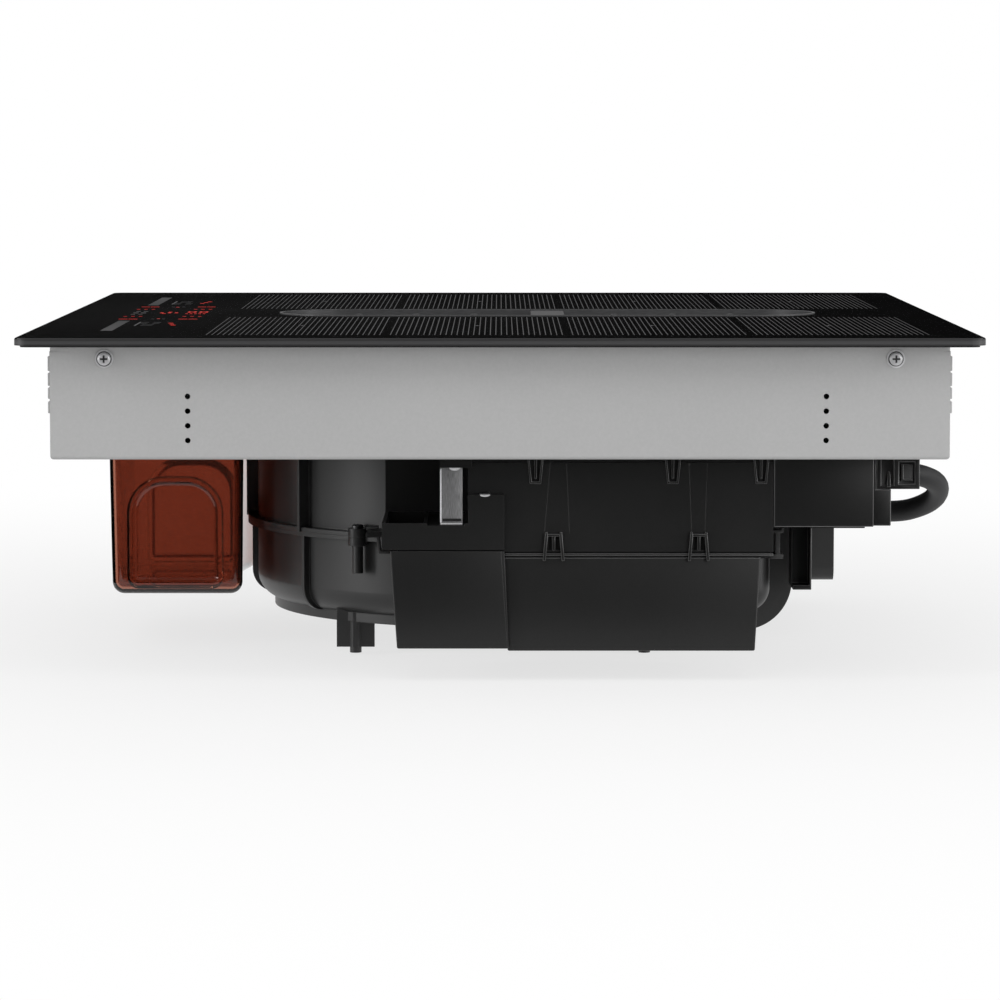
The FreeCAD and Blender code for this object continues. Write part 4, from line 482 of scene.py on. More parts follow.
def printed(name, dark, light, scales=(900, 14)):
    return finish(name, dark, light, (0.5, 0.6), scales=scales, specular=0.1)


def scaled(colour, factor):
    return tuple(min(1, value * factor) for value in colour[:3]) + (1,)


def lit(name, colour, strength):
    deep = scaled(colour, 0.25)
    material = printed(name, deep, deep, (500, 60))
    tree, shader, place = open_up(material)
    glow = mix(tree, node(tree, "TexNoise", {"Vector": place, "Scale": 900}), colour, scaled(colour, 1.25))
    feed(tree, shader, {"Emission Color": glow, "Emission Strength": strength})
    return material


def slider_finish():
    """The slider bars fade from their outer ends towards the middle of the hob."""
    material = printed("slider_print", tone(20, 20, 21), tone(58, 58, 59))
    tree, shader, place = open_up(material)
    distance = calc(tree, "ABSOLUTE", node(tree, "SeparateXYZ", {0: place}).outputs["X"])
    fade = remap(tree, distance, "From", SLIDER_NEAR_X * MM, SLIDER_FAR_X * MM)
    feed(tree, shader, {"Base Color": mix(tree, fade, tone(24, 24, 25), tone(54, 54, 55))})
    return material


line_print = printed("line_print", tone(56, 56, 57), tone(64, 64, 65), (1200, 30))
icon_print = printed("icon_print", tone(70, 70, 71), tone(80, 80, 81), (1200, 60))
slider_print = slider_finish()
red_light = lit("red_light", tone(205, 40, 26), 0.75)
print("all materials", len(bpy.data.materials))

# %% [markdown]
# ## Dressing the carried-over nodes
#
# Every node gets its finish by name. A node that is missing from the table stops the script.

# %% Materials by node
dress = {
    black_glass: ["glass_top"],
    foam_tape: ["edge_seal", "well_gasket", "blower_gasket"],
    rim_steel: ["vent_rim"],
    grille_coat: ["vent_grille"],
    zinc_sheet: ["casing_tray", "corner_brackets"],
    bright_steel: ["tray_screws", "leaf_springs", "casing_posts"],
    strap_steel: ["hanger_strap"],
    screw_zinc: ["casing_screws"],
    dark_screw: ["blower_shell_screws"],
    mill_aluminium: ["coil_trays", "heat_sinks", "grease_filter_frame", "grease_filter_mesh"],
    black_plastic: ["air_well", "blower_upper_shell", "blower_lower_shell", "outlet_duct_near_shell",
                    "outlet_duct_far_shell", "exhaust_spigot", "tank_collar", "blower_inlet_ring"],
    box_plastic: ["control_box_upper", "control_box_lower", "small_box", "support_tray", "cable_channel",
                  "connector_hood", "junction_box"],
    grey_plastic: ["impeller", "cooling_fan_left", "cooling_fan_right", "touch_holder", "coil_formers"],
    dark_plastic: ["cooling_fan_frames", "terminal_block", "transformer"],
    litz_copper: ["coil_windings", "filter_chokes"],
    ferrite: ["coil_ferrites"],
    mica: ["mica_sheets"],
    silicone: ["coil_sensors"],
    board_lacquer: ["touch_board", "power_boards", "driver_board"],
    display_window: ["display_modules"],
    capacitor_sleeve: ["bus_capacitors"],
    motor_steel: ["motor_rotor", "motor_shaft", "motor_stator", "motor_plate"],
    bearing_bronze: ["motor_bearings"],
    rubber: ["motor_bushes", "lead_glands", "power_lead"],
    amber_clear: ["liquid_tank"],
}


def give(piece, material):
    piece.data.materials.clear()
    piece.data.materials.append(material)
    return piece


def mould(piece, width, segments=3):
    """A satin black moulding whose rounded edges are a little more polished than its faces and painted a much
    lighter grey, a painted highlight.
    """
    give(piece, box_plastic)
    piece.data.materials.append(box_edge_highlight)
    return smooth(round_edges(piece, width, segments, edge_slot=1))


for material, names in dress.items():
    for name in names:
        give(nodes[name], material)
undressed = sorted(set(nodes) - {name for names in dress.values() for name in names})
assert not undressed, undressed
print("dressed", len(nodes))

# %% [markdown]
# ## The printed cooking zones
#
# Four blocks of fine lines lie on each side of the inlet. One line is modelled as a very thin bar, an array
# repeats it over a block, and the blocks are joined. A bar this thin reads as ink and still casts a clean
# edge.

# %% Zone lines and marks
PRINT_LIFT = 0.01
PRINT_THICK = 0.03
LINE_WIDTH = 0.5
LINES_IN_BLOCK = 32
LINE_INNER_X = 55
LINE_OUTER_X = 260
BLOCK_SPANS = ((-159.5, -65.0), (-59.7, 34.1), (39.3, 133.6), (139.1, 232.8))
MARK_XS = (-157, 157)
MARK_YS = (-112, -13, 86, 186)
MARK_ARM = 3.0
MARK_STROKE = 0.8
PRINT_BASE = GLASS_TOP + PRINT_LIFT
PRINT_TOP = PRINT_BASE + PRINT_THICK


def ink(x0, x1, y0, y1, lift=0):
    return block("ink", x0, x1, y0, y1, PRINT_BASE, PRINT_TOP + lift)


blocks = []
for side in (-1, 1):
    inner, outer = sorted((side * LINE_INNER_X, side * LINE_OUTER_X))
    for start, end in BLOCK_SPANS:
        pitch = (end - start - LINE_WIDTH) / (LINES_IN_BLOCK - 1)
        blocks.append(repeat(ink(inner, outer, start, start + LINE_WIDTH), LINES_IN_BLOCK, (0, pitch, 0)))
zone_lines = give(join("printed_zone_lines", blocks), line_print)
marks = []
for x in MARK_XS:
    for y in MARK_YS:
        marks.append(ink(x - MARK_ARM, x + MARK_ARM, y - MARK_STROKE / 2, y + MARK_STROKE / 2))
        marks.append(ink(x - MARK_STROKE, x + MARK_STROKE, y - MARK_ARM / 2, y + MARK_ARM / 2, PRINT_LIFT))
zone_marks = give(join("printed_zone_marks", marks), icon_print)
for piece in (zone_lines, zone_marks):
    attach(piece, "hob")
tell(zone_lines)

# %% [markdown]
# ## The control field
#
# At the front edge, two grey slider bars, rows of red dashes and dots and a two-figure display show through
# the glass. Each is a small bar; the figures are seven-segment zeros. The signs are plain generic shapes.

# %% Bars and figures
DISPLAY_X = -10
DISPLAY_YS = (-186.4, -179.4)
SLIDER_YS = (-221, -214.5)
FRAME_XS = (116, 158)
FRAME_YS = (-207.4, -206.4)


def row(x, y0, y1, count, length, width):
    """A row of small bars along Y at one X."""
    step = 0 if count == 1 else (y1 - y0 - length) / (count - 1)
    return [ink(x - width / 2, x + width / 2, y0 + n * step, y0 + n * step + length) for n in range(count)]


def both_sides(xs, ys):
    """A long bar on each side of the middle."""
    return [ink(*sorted(side * x for x in xs), *ys) for side in (-1, 1)]


def figure(x, y, height=11, width=5, stroke=1.3):
    """A seven-segment zero: its height runs along X, its width along Y."""
    x0, x1 = x - height / 2, x + height / 2
    y0, y1 = y - width / 2, y + width / 2
    bars = [ink(x0, x0 + stroke, y0, y1), ink(x1 - stroke, x1, y0, y1)]
    for start, end in ((x0 + stroke, x - stroke / 3), (x + stroke / 3, x1 - stroke)):
        bars += [ink(start, end, side, side + stroke) for side in (y0, y1 - stroke)]
    return bars


# %% Controls
# A row is noted as X, its first and last Y, how many bars it has, and a bar's length and width.
red_rows = [(0, y, y + 2, 1, 1.9, 6) for y in (-205, -200.4, -196.2)]
red_rows += [(9, -203.4, -201.4, 1, 2.4, 3), (-9, -200.6, -198.2, 1, 2.2, 3), (12, -189, -177, 5, 1.5, 3)]
grey_rows = []
for side in (-1, 1):
    for front, back in ((-223, -212), (-188, -177)):
        red_rows += [(side * 79, front, back, 2, 5.2, 2.2), (side * 46, front, back, 3, 2, 2)]
    red_rows += [(side * (128 + 12 * n), -190 + 1.6 * n, -187 + 1.6 * n, 1, 2.6, 3) for n in range(3)]
    red_rows.append((side * 74, -201, -199, 1, 1.8, 1.8))
    grey_rows.append((side * 78, -204, -196, 3, 1.8, 1.6))
    for x, y0, y1 in ((118, -206, -195), (130, -206, -195), (142, -204, -197), (154, -204, -197)):
        grey_rows.append((side * x, y0, y1, 2, 4, 1.4))
for y in (-221, -216.5):
    grey_rows += [(-18, y, y + 3, 1, 2.6, 5), (2, y, y + 3, 1, 3, 7), (20, y, y + 3, 1, 2.4, 4)]
red_bars = [bar for values in red_rows for bar in row(*values)]
red_bars += [bar for y in DISPLAY_YS for bar in figure(DISPLAY_X, y)]
slider_bars = both_sides((SLIDER_NEAR_X, SLIDER_FAR_X), SLIDER_YS)
grey_bars = both_sides(FRAME_XS, FRAME_YS) + [bar for values in grey_rows for bar in row(*values)]
control_lights = give(join("control_lights", red_bars), red_light)
control_prints = give(join("control_prints", grey_bars), icon_print)
slider_prints = give(join("slider_prints", slider_bars), slider_print)
for piece in (control_lights, control_prints, slider_prints):
    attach(piece, "hob")
    tell(piece)

# %% [markdown]
# ## The power lead
#
# A thick rubber lead leaves the cable channel, swings out behind the hob and returns to the junction box. A
# curve with the same points as the CAD route, read as a NURBS line, gives it an even bend.

# %% Lead
LEAD_ROUTE = ((224.5, 188.5, -72.5), (224.5, 221.3, -71.6), (202.5, 245.6, -79.2), (171.6, 245.6, -94.0),
              (149.5, 221.3, -103.6), (149.5, 188.5, -97.2))
LEAD_RADIUS = 6
curve = bpy.data.curves.new("power_lead_line", "CURVE")
curve.dimensions = "3D"
spline = curve.splines.new("NURBS")
spline.points.add(len(LEAD_ROUTE) - 1)
for point, spot in zip(spline.points, LEAD_ROUTE):
    point.co = mm(*spot) + (1,)
spline.order_u = 3
spline.use_endpoint_u = True
spline.resolution_u = 16
curve.bevel_depth = LEAD_RADIUS * MM
curve.bevel_resolution = 8
curve.use_fill_caps = True
activate(link_new("power_lead_flex", curve))
bpy.ops.object.convert(target="MESH")
lead = smooth(give(bpy.context.object, rubber))
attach(lead, "hob")
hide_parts("power_lead")
tell(lead)

# %% [markdown]
# ## The liquid tank
#
# The real tank is one injection moulding: a box with drafted walls, rounded uprights, a back wall hollowed
# to clear the blower, and an arched recess for the fingers in each side. It is shaped as its mould would
# be: a core is taken out of an outer form, and at the recess the core steps back by one wall.

# %% Tank forms
TANK_X = 75
TANK_FRONT = -230.1
TANK_BACK = -149.7
TANK_TOP = -65.8
TANK_BASE = -157.7
TANK_DRAFT = 1.3
TANK_WALL = 3
TANK_HOLLOW = 7.3
TANK_BOW_CUTS = 15
GRIP_FRONT = -216.6
GRIP_BACK = -166.1
GRIP_TOP = -91
GRIP_BASE = -150.7
GRIP_DEPTH = 9
GRIP_SHOULDER = 19
GRIP_FOOT = 3


def tank_form(name, inset, top, base, corner):
    """One drafted form of the tank: its back wall bows in, its uprights and floor are rounded."""
    half = TANK_X - inset
    back = TANK_BACK - inset
    form = block(name, -half, half, TANK_FRONT + inset, back, base, top)
    near_back = back - 0.5
    pick_edges(form, lambda place, way: abs(way.x) > 0.9 and place.y > near_back)
    bpy.ops.mesh.subdivide(number_cuts=TANK_BOW_CUTS)
    leave_edit()
    for n in range(1, TANK_BOW_CUTS + 1):
        x = half * (2 * n / (TANK_BOW_CUTS + 1) - 1)
        pick_edges(form, lambda place, way: upright(way) and abs(place.x - x) < 0.1 and place.y > near_back)
        move_picked(0, TANK_HOLLOW * ((x / half) ** 2 - 1), 0)
    pick_faces(form, looks_down)
    depth = (TANK_BACK - TANK_FRONT) / 2 - inset
    scale_picked(((half - TANK_DRAFT) / half, (depth - TANK_DRAFT) / depth, 1),
                 (0, (TANK_FRONT + TANK_BACK) / 2, base))
    pick_edges(form, lambda place, way: upright(way) and abs(place.x) > half - 3 or place.z < base + 0.5)
    bevel_picked(corner, 7, clamp=True)
    return form


def grip_form(name, side, grow):
    """The arched recess, as a solid: deep rounded shoulders above and small ones below."""
    near, far = sorted((side * (TANK_X - GRIP_DEPTH - grow), side * (TANK_X + 4)))
    form = block(name, near, far, GRIP_FRONT - grow, GRIP_BACK + grow, GRIP_BASE - grow, GRIP_TOP + grow)
    pick_edges(form, lambda place, way: abs(way.x) > 0.9 and place.z > -120)
    bevel_picked(GRIP_SHOULDER + grow, 14)
    pick_edges(form, lambda place, way: abs(way.x) > 0.9 and place.z < -140)
    bevel_picked(GRIP_FOOT + grow, 5)
    pick_faces(form, lambda place, normal: normal.x * side < -0.9)
    bevel_picked(3.2, 6)
    return form


# %% Tank
tank = tank_form("liquid_tank_clear", 0, TANK_TOP, TANK_BASE, 7)
core = tank_form("tank_core", TANK_WALL, TANK_TOP + 4, TANK_BASE + TANK_WALL + 0.5, 4)
for side in (-1, 1):
    cut(core, grip_form("grip_core", side, TANK_WALL))
cut(tank, core)
for side in (-1, 1):
    cut(tank, grip_form("grip", side, 0))
round_edges(tank, 0.8, segments=3, angle=55)
smooth(give(tank, amber_clear), 40)
apply_modifier(tank, "WEIGHTED_NORMAL", keep_sharp=True, weight=80)
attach(tank, "tank")
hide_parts("liquid_tank")
tell(tank)

# %% [markdown]
# ## The control box: pockets, clips and seams
#
# The upper shell snaps to the casing with three latches, seen as tapered pockets at its top edge with a
# spring tongue inside, and the lower tub hangs from it in two splayed clips. Each is shaped once and
# copied. Faint steps in the side wall run from the pockets to the clips, where the mould's slides met.

# %% Upper shell of the control box
FACE_X = 235
BACK_X = 164
SHELL_TOP = -61.5
SEAM_Z = -115.8
LATCH_YS = (19.5, 95.0, 143.5)
LATCH_DEPTH = 2.1
CLIP_YS = (29.5, 109.3)
LEG_TOP = -105.6
LEG_BASE = -120.4
MOULD_STEPS = ((27.8, 24.4), (36.2, 38.2), (103.6, 105.4), (114.0, 112.6))


def tapered_block(name, x0, x1, y, top_half, base_half, z0, z1):
    """Block whose lower face is wider or narrower along Y than its upper face."""
    tapered = block(name, x0, x1, y - top_half, y + top_half, z0, z1)
    pick_faces(tapered, looks_down)
    scale_picked((1, base_half / top_half, 1), ((x0 + x1) / 2, y, z0))
    return tapered


def latch_form(name, x0, y):
    return tapered_block(name, x0, FACE_X + 1, y, 3.7, 2.0, SHELL_TOP - 15.4, SHELL_TOP + 1)


shell = block("control_box_shell", BACK_X, FACE_X, 1.6, 150.2, SEAM_Z, SHELL_TOP)
cut(shell, block("room", BACK_X + 2, FACE_X - 4.2, 3.6, 148.2, SEAM_Z - 1, SHELL_TOP - 2))
for y in LATCH_YS:
    cut(shell, latch_form("pocket", FACE_X - LATCH_DEPTH, y))
for y in CLIP_YS:
    pocket = (FACE_X - LATCH_DEPTH, FACE_X + 1, y, 2.6, 3.9, SEAM_Z + 0.9, LEG_TOP - 1.2)
    cut(shell, tapered_block("clip_pocket", *pocket))
add(shell, block("overhang", BACK_X + 2.4, FACE_X, -17.6, 1.7, -83.6, SHELL_TOP))
tab = block("tab", 236, 238, -32.9, -15.6, -69, SHELL_TOP)
add(shell, add(tab, block("root", 233, 238, -17.6, -15.6, -69, SHELL_TOP)))
cut(shell, block("top_groove", FACE_X - 1.3, FACE_X + 0.5, -15.5, 150.4, -66.5, SHELL_TOP + 1))
shell_parts = [mould(shell, 0.5)]

# %% Latch tongues and lips
lip = tapered_block("latch_lip", FACE_X - 0.2, FACE_X + 0.6, 0, 4.6, 3.1, SHELL_TOP - 16.6, SHELL_TOP - 0.3)
cut(lip, latch_form("mouth", FACE_X - 1, 0))
mould(lip, 0.25, segments=2)
tongue = block("latch_tongue", FACE_X - LATCH_DEPTH, FACE_X - 0.9, -0.8, 0.8, SHELL_TOP - 13.6,
               SHELL_TOP - 0.3)
pick_faces(tongue, looks_down)
extrude_picked(0.7, 0, -0.4)
latch = join("latch", [lip, mould(tongue, 0.3)])
shell_parts += [twin(latch, y) for y in LATCH_YS]
bpy.data.objects.remove(latch)

# %% Seam clips
leg = block("leg", FACE_X - 0.2, FACE_X + 3, 3.1, 4.7, LEG_BASE, LEG_TOP)
pick_faces(leg, looks_down)
move_picked(0, 1.3, 0)
cut(leg, block("lip_room", FACE_X - 2, FACE_X + 1.5, 0, 9, SEAM_Z - 3.1, SEAM_Z + 0.4))
bridge = block("bridge", FACE_X - 0.2, FACE_X + 2.4, -4.4, 4.4, LEG_TOP - 1.4, LEG_TOP)
ears = [block("ear", FACE_X - 0.2, FACE_X + 3, y - 0.7, y + 0.7, LEG_TOP - 0.4, LEG_TOP + 0.9)
        for y in (-4, 4)]
rib = block("rib", FACE_X - 0.2, FACE_X + 1.1, -0.9, 0.9, SEAM_Z + 1, LEG_TOP - 1)
clip = mould(join("clip", [leg, twin(leg, mirror=True), bridge, *ears, rib]), 0.25, segments=2)
shell_parts += [twin(clip, y) for y in CLIP_YS]
bpy.data.objects.remove(clip)

# %% Mould steps
for y_high, y_low in MOULD_STEPS:
    step = block("mould_step", FACE_X - 0.1, FACE_X + 0.1, y_high - 0.12, y_high + 0.12, LEG_TOP,
                 SHELL_TOP - 2.4)
    pick_faces(step, looks_down)
    move_picked(0, y_low - y_high, 0)
    shell_parts.append(give(step, box_plastic))
control_shell = join("control_box_shell", shell_parts)
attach(control_shell, "hob")
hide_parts("control_box_upper")
tell(control_shell)

# %% [markdown]
# ## The lower tub and the small box
#
# Both boxes are drafted so that they leave their moulds: the floor is a little smaller than the mouth.
# Edges of the floor are pulled in one by one, then the outer corners are rounded, and a smaller box of the
# same kind takes out the room. Along the seam the tub carries a thin lip between two shadow grooves.

# %% Drafted boxes
TUB_LEANS = (2, -2.8, -1.4)
SMALL_LEANS = (3.7, 3.3, -1.85)


def drafted_box(name, x0, x1, y0, y1, z0, z1, leans, corner):
    """Box whose floor edges at the front, the back and the outer face are pulled in."""
    box = block(name, x0, x1, y0, y1, z0, z1)
    front, back, face = leans
    for pull, on_side in (((0, front, 0), lambda place, way: abs(way.x) > 0.9 and place.y < y0 + 0.1),
                          ((0, back, 0), lambda place, way: abs(way.x) > 0.9 and place.y > y1 - 0.1),
                          ((face, 0, 0), lambda place, way: abs(way.y) > 0.9 and place.x > x1 - 0.1)):
        pick_edges(box, lambda place, way: place.z < z0 + 0.1 and on_side(place, way))
        move_picked(*pull)
    pick_edges(box, lambda place, way: upright(way) and place.x > x0 + 1 or place.z < z0 + 0.1)
    bevel_picked(corner, 4)
    return box


tub = drafted_box("control_tub", BACK_X, FACE_X, 1.8, 143.4, -170.8, -118.9, (2.4, -2.8, -1.4), 0.9)
mould(tub, 0.4)
add(tub, block("tub_neck", BACK_X, FACE_X - 1.4, 3.4, 148.8, -119.4, SEAM_Z - 0.05))
add(tub, mould(block("tub_lip", BACK_X, FACE_X + 1.2, 2, 150.2, -117.8, -116.5), 0.35))
cut(tub, drafted_box("room", BACK_X + 2, FACE_X - 3.4, 5.4, 139.6, -168, -113, TUB_LEANS, 1))
smooth(tub)
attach(tub, "hob")
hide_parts("control_box_lower")
tell(tub)

# %% Small box
small = drafted_box("small_box_shell", BACK_X, 238, -60.5, 1.2, -169.3, -115.1, SMALL_LEANS, 0.9)
add(small, drafted_box("cover_lip", 235.1, 237.9, -50, 2.5, -169.2, -115.2, (0, 2.4, -1.85), 0.5))
mould(small, 0.4)
cut(small, drafted_box("room", BACK_X + 2, 236, -58.5, -0.8, -166.8, -113, SMALL_LEANS, 1))
smooth(small)
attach(small, "hob")
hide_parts("small_box")
tell(small)

# %% [markdown]
# ## The support tray
#
# The tray is a thick shelf with a deep pocket at its front, a shallow seat for the strap's foot and a high
# step beside the control box; a wall at its inner side reaches up to the casing. The forms are joined, the
# hollows are cut and every edge gets the small round of a mould.

# %% Tray
TRAY_TOP = -99.7
TRAY_BASE = -114.4
TRAY_FACE_X = 238
TRAY_FRONT = -64.9
TRAY_BACK = 1.2
STEP_TOP = -83.7
tray = block("support_tray_shell", BACK_X, TRAY_FACE_X, TRAY_FRONT, TRAY_BACK, TRAY_BASE, TRAY_TOP)
add(tray, block("step", BACK_X, TRAY_FACE_X, -17.6, TRAY_BACK, TRAY_BASE, STEP_TOP))
add(tray, block("wall", BACK_X, BACK_X + 2, TRAY_FRONT, TRAY_BACK, TRAY_BASE, SHELL_TOP))
add(tray, block("cover_lip", 235.1, TRAY_FACE_X, -10, 2.3, TRAY_BASE, STEP_TOP))
add(tray, block("ear", BACK_X, BACK_X + 20, -74.9, -64.8, -112.7, -109.7))
cut(tray, block("pocket", BACK_X + 4, 236, -62.9, -42, TRAY_TOP - 10, TRAY_TOP + 1))
cut(tray, block("seat", BACK_X + 4, TRAY_FACE_X + 1, -40, -19.6, TRAY_TOP - 1.2, TRAY_TOP + 1))
mould(tray, 0.5)
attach(tray, "hob")
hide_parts("support_tray")
tell(tray)

# %% [markdown]
# ## The hanger strap
#
# A strip of bright steel, bent at both ends, hangs the tray from the casing. It starts as a narrow upright;
# its head and its foot are extruded from it, as the bends would be made, and the bends are rounded.

# %% Strap
STRAP_LEFT = -32.9
STRAP_RIGHT = -20.6
STRAP_X = 233.4
STRAP_THICK = 1.2
STRAP_HIGH = SHELL_TOP - STRAP_THICK
STRAP_MIDDLE = (STRAP_LEFT + STRAP_RIGHT) / 2
strap = block("strap", STRAP_X, STRAP_X + STRAP_THICK, STRAP_LEFT, STRAP_RIGHT, TRAY_TOP, STRAP_HIGH)
for way in (1, -1):
    pick_faces(strap, lambda place, normal: normal.z * way > 0.9)
    extrude_picked(0, 0, STRAP_THICK * way)
for low, high, reach in ((STRAP_HIGH, SHELL_TOP, 10.8), (TRAY_TOP - STRAP_THICK, TRAY_TOP, 12.8)):
    pick_faces(strap, lambda place, normal: normal.x < -0.9 and low - 0.01 < place.z < high + 0.01)
    extrude_picked(-reach, 0, 0)
pick_edges(strap, lambda place, way: abs(way.y) > 0.9 and place.x > 234.5 and not -100.8 < place.z < -61.6)
bevel_picked(1.1, 5)
for x, z in ((228.0, -62), (227.0, -100)):
    cut(strap, post("screw_hole", 2.0, 4, (x, STRAP_MIDDLE, z), sides=24))
smooth(give(round_edges(strap, 0.22), strap_steel))
# Two thin pale strips on the strap's face, along its left edge and across its foot bend, are painted
# highlights; a thin dark bar above the foot is a painted shadow of the bend.
strap_highlights = [block("edge", 234.3, 234.9, STRAP_LEFT - 0.05, STRAP_LEFT + 0.75, -99.6, -70),
          block("edge", 234.3, 234.9, STRAP_LEFT, STRAP_RIGHT, -100.6, -99.9)]
bend_shadow = block("bend_shadow", 234.3, 234.75, STRAP_LEFT + 1.3, STRAP_RIGHT - 0.6, -98.9, -97.3)
strap_parts = [strap, give(bend_shadow, rubber)] + [give(round_edges(edge, 0.2), strap_edge_highlight) for edge in strap_highlights]
strap = join("strap", strap_parts)
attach(strap, "hob")
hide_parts("hanger_strap")
tell(strap)

# %% Screw heads beside the strap
# Two domed heads peep out here: each hangs under the part that it holds, so only its lower half shows.
DOMES = (((236.4, -24.9, -69.05), (1.9, 3.1, 1.8)), ((236.8, -8.2, -83.75), (1.9, 3.7, 1.7)))
domes = []
for middle, halves in DOMES:
    bpy.ops.mesh.primitive_uv_sphere_add(segments=32, ring_count=16, radius=MM, location=mm(*middle),
                                         scale=halves)
    dome = settle(bpy.context.object)
    enter_edit(dome, "SELECT")
    bpy.ops.mesh.bisect(plane_co=mm(*middle), plane_no=(0, 0, 1), use_fill=True, clear_outer=True)
    leave_edit()
    domes.append(dome)
screw_domes = smooth(give(join("screw_domes", domes), screw_zinc), 60)
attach(screw_domes, "hob")
tell(screw_domes)

# %% [markdown]
# ## Drives of the side screws
#
# Each side screw has a pan head on a captive washer. A cross recess and the shaded ring under the head are
# what the eye knows a screw by; neither is a hollow here, both lie as thin dark forms on the CAD screws:
# painted shade.

# %% Painted shade of the screw drives
SCREW_Y = 213
SCREW_Z = -7
HEAD_TOP_X = 279.1
WASHER_TOP_X = 276.8
DARK_FILM = 0.12
CROSS_ARM = 2
CROSS_STROKE = 0.5
drive_shades = []
for side in (-1, 1):
    for y in (-SCREW_Y, SCREW_Y):
        ring_middle = (side * (WASHER_TOP_X + 0.08), y, SCREW_Z)
        drive_shades.append(post("ring", 4.05, DARK_FILM, ring_middle, axis="X", sides=40))
        xs = sorted((side * (HEAD_TOP_X + 0.02), side * (HEAD_TOP_X + 0.02 + DARK_FILM)))
        bars = [block("drive", *xs, y - wide, y + wide, SCREW_Z - high, SCREW_Z + high)
                for wide, high in ((CROSS_ARM, CROSS_STROKE), (CROSS_STROKE, CROSS_ARM))]
        drive_shades.append(add(*bars))
screw_drive_shades = give(join("screw_drive_shades", drive_shades), dark_screw)
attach(screw_drive_shades, "hob")
tell(screw_drive_shades)

# %% [markdown]
# ## The socket of the outlet
#
# Where the duct elbow ends, a deep socket takes the spigot. From the side it is a dark slot with a lighter
# lip below and behind it.

# %% Socket
socket = block("outlet_socket", 118, 152.6, 167, 177.6, -146, -110)
cut(socket, block("slot", 140, 154, 166, 176.6, -143.4, -108))
mould(socket, 0.4)
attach(socket, "hob")
tell(socket)

# %% [markdown]
# ## The connector hood
#
# Behind the cable channel a small hood covers the place where the lead comes out. Its side has two shallow
# windows for the lugs of a cover, one of them with a snap tab.

# %% Hood
WINDOW_X = 232.5
hood = block("connector_hood_shell", 205, FACE_X, 206.8, 230.6, -81, SHELL_TOP)
cut(hood, block("room", 204, 231.6, 205.8, 231.6, -82, SHELL_TOP - 1.2))
for y0, y1, z0, z1 in ((209.4, 216.4, -79.2, -64.0), (219.2, 228.2, -78.2, -66.0)):
    cut(hood, block("window", WINDOW_X + 0.1, 236, y0, y1, z0, z1))
window_tab = block("window_tab", WINDOW_X, 235.4, 212.6, 214.8, -79.8, -71.5)
pick_faces(window_tab, lambda place, normal: normal.z > 0.9)
scale_picked((0.5, 0.6, 1), (WINDOW_X, 213.7, -71.5))
frame_bar = block("window_frame", WINDOW_X, 234.4, 220.6, 226.8, -76.6, -67.6)
cut(frame_bar, block("window_inner", 233.2, 236, 221.6, 226.8, -75.6, -66.6))
hood = join("connector_hood_shell", [mould(hood, 0.35), mould(window_tab, 0.25), mould(frame_bar, 0.2)])
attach(hood, "hob")
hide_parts("connector_hood")
tell(hood)

# %% [markdown]
# ## The cable channel
#
# The channel box stands behind the control box; its last stretch is a separate end cap, set back a little,
# so that an edge shows where the two meet; its rounding carries the painted highlight of the mouldings. The
# lead passes through a round hole in the cap.

# %% Channel
CAP_FACE_X = FACE_X - 1
LEAD_HOLE = (224.5, 206, -72.5)
channel = block("cable_channel_shell", BACK_X, FACE_X, 150.6, 205.4, -101.9, SHELL_TOP)
cut(channel, block("room", BACK_X + 2, FACE_X - 2, 152.6, 207, -99.9, SHELL_TOP - 2))
end_cap = block("end_cap", BACK_X, CAP_FACE_X, 205, 215, -101.4, -81.2)
add(end_cap, block("cap_top", BACK_X, CAP_FACE_X, 205, 206.6, -81.4, SHELL_TOP))
cut(end_cap, post("lead_hole", 8, 8, LEAD_HOLE, axis="Y"))
channel = join("cable_channel_shell", [mould(channel, 0.5), mould(end_cap, 0.5)])
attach(channel, "hob")
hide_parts("cable_channel")
tell(channel)

# %% [markdown]
# ## Small brackets between the mouldings
#
# Two little hooks hold the boxes to the scroll and to the duct: one at the tray's front edge and one under
# the control box's rear corner. The first is a strip that is extruded fold by fold; the second is joined
# from bars.

# %% Hooks
HOOK_XS = (158, 170)
HOOK_THICK = 1.6
REAR_FOLDS = ((155.7, 158.4, -124, -110.2), (152.9, 160.3, -126.4, -123.7), (158.9, 160.3, -111, -108.6))
front_hook = block("front_hook", *HOOK_XS, -75.5, -70.5, -110, -110 + HOOK_THICK)
pick_faces(front_hook, lambda place, normal: normal.y > 0.9)
extrude_picked(0, HOOK_THICK, 0)
pick_faces(front_hook, lambda place, normal: normal.z < -0.9 and place.y > -70.51)
extrude_picked(0, 1.6, -12)
pick_faces(front_hook, lambda place, normal: normal.z < -0.9 and place.z < -121)
extrude_picked(0, 0, -HOOK_THICK)
pick_faces(front_hook, lambda place, normal: normal.y > 0.9 and place.z < -122)
extrude_picked(0, 5, 0)
rear_hook = block("rear_hook", *HOOK_XS, 150.1, 160.3, -111.7, -110.1)
for fold in REAR_FOLDS:
    add(rear_hook, block("fold", *HOOK_XS, *fold))
# The hooks' lighter grey is painted light on the black moulding.
for piece in (front_hook, rear_hook):
    give(smooth(round_edges(piece, 0.3)), hook_plastic_lit)
    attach(piece, "hob")
    tell(piece)

# %% [markdown]
# ## Louvre hoods and folded corners of the casing
#
# Each cooling slot in the casing's front and back walls has a pressed hood over it, open below, and each
# upper corner is closed by a small fold. One hood is shaped and two arrays repeat it over the wall; the
# other wall gets a mirrored copy. Beside each corner the wall's edge shows as four short tabs.

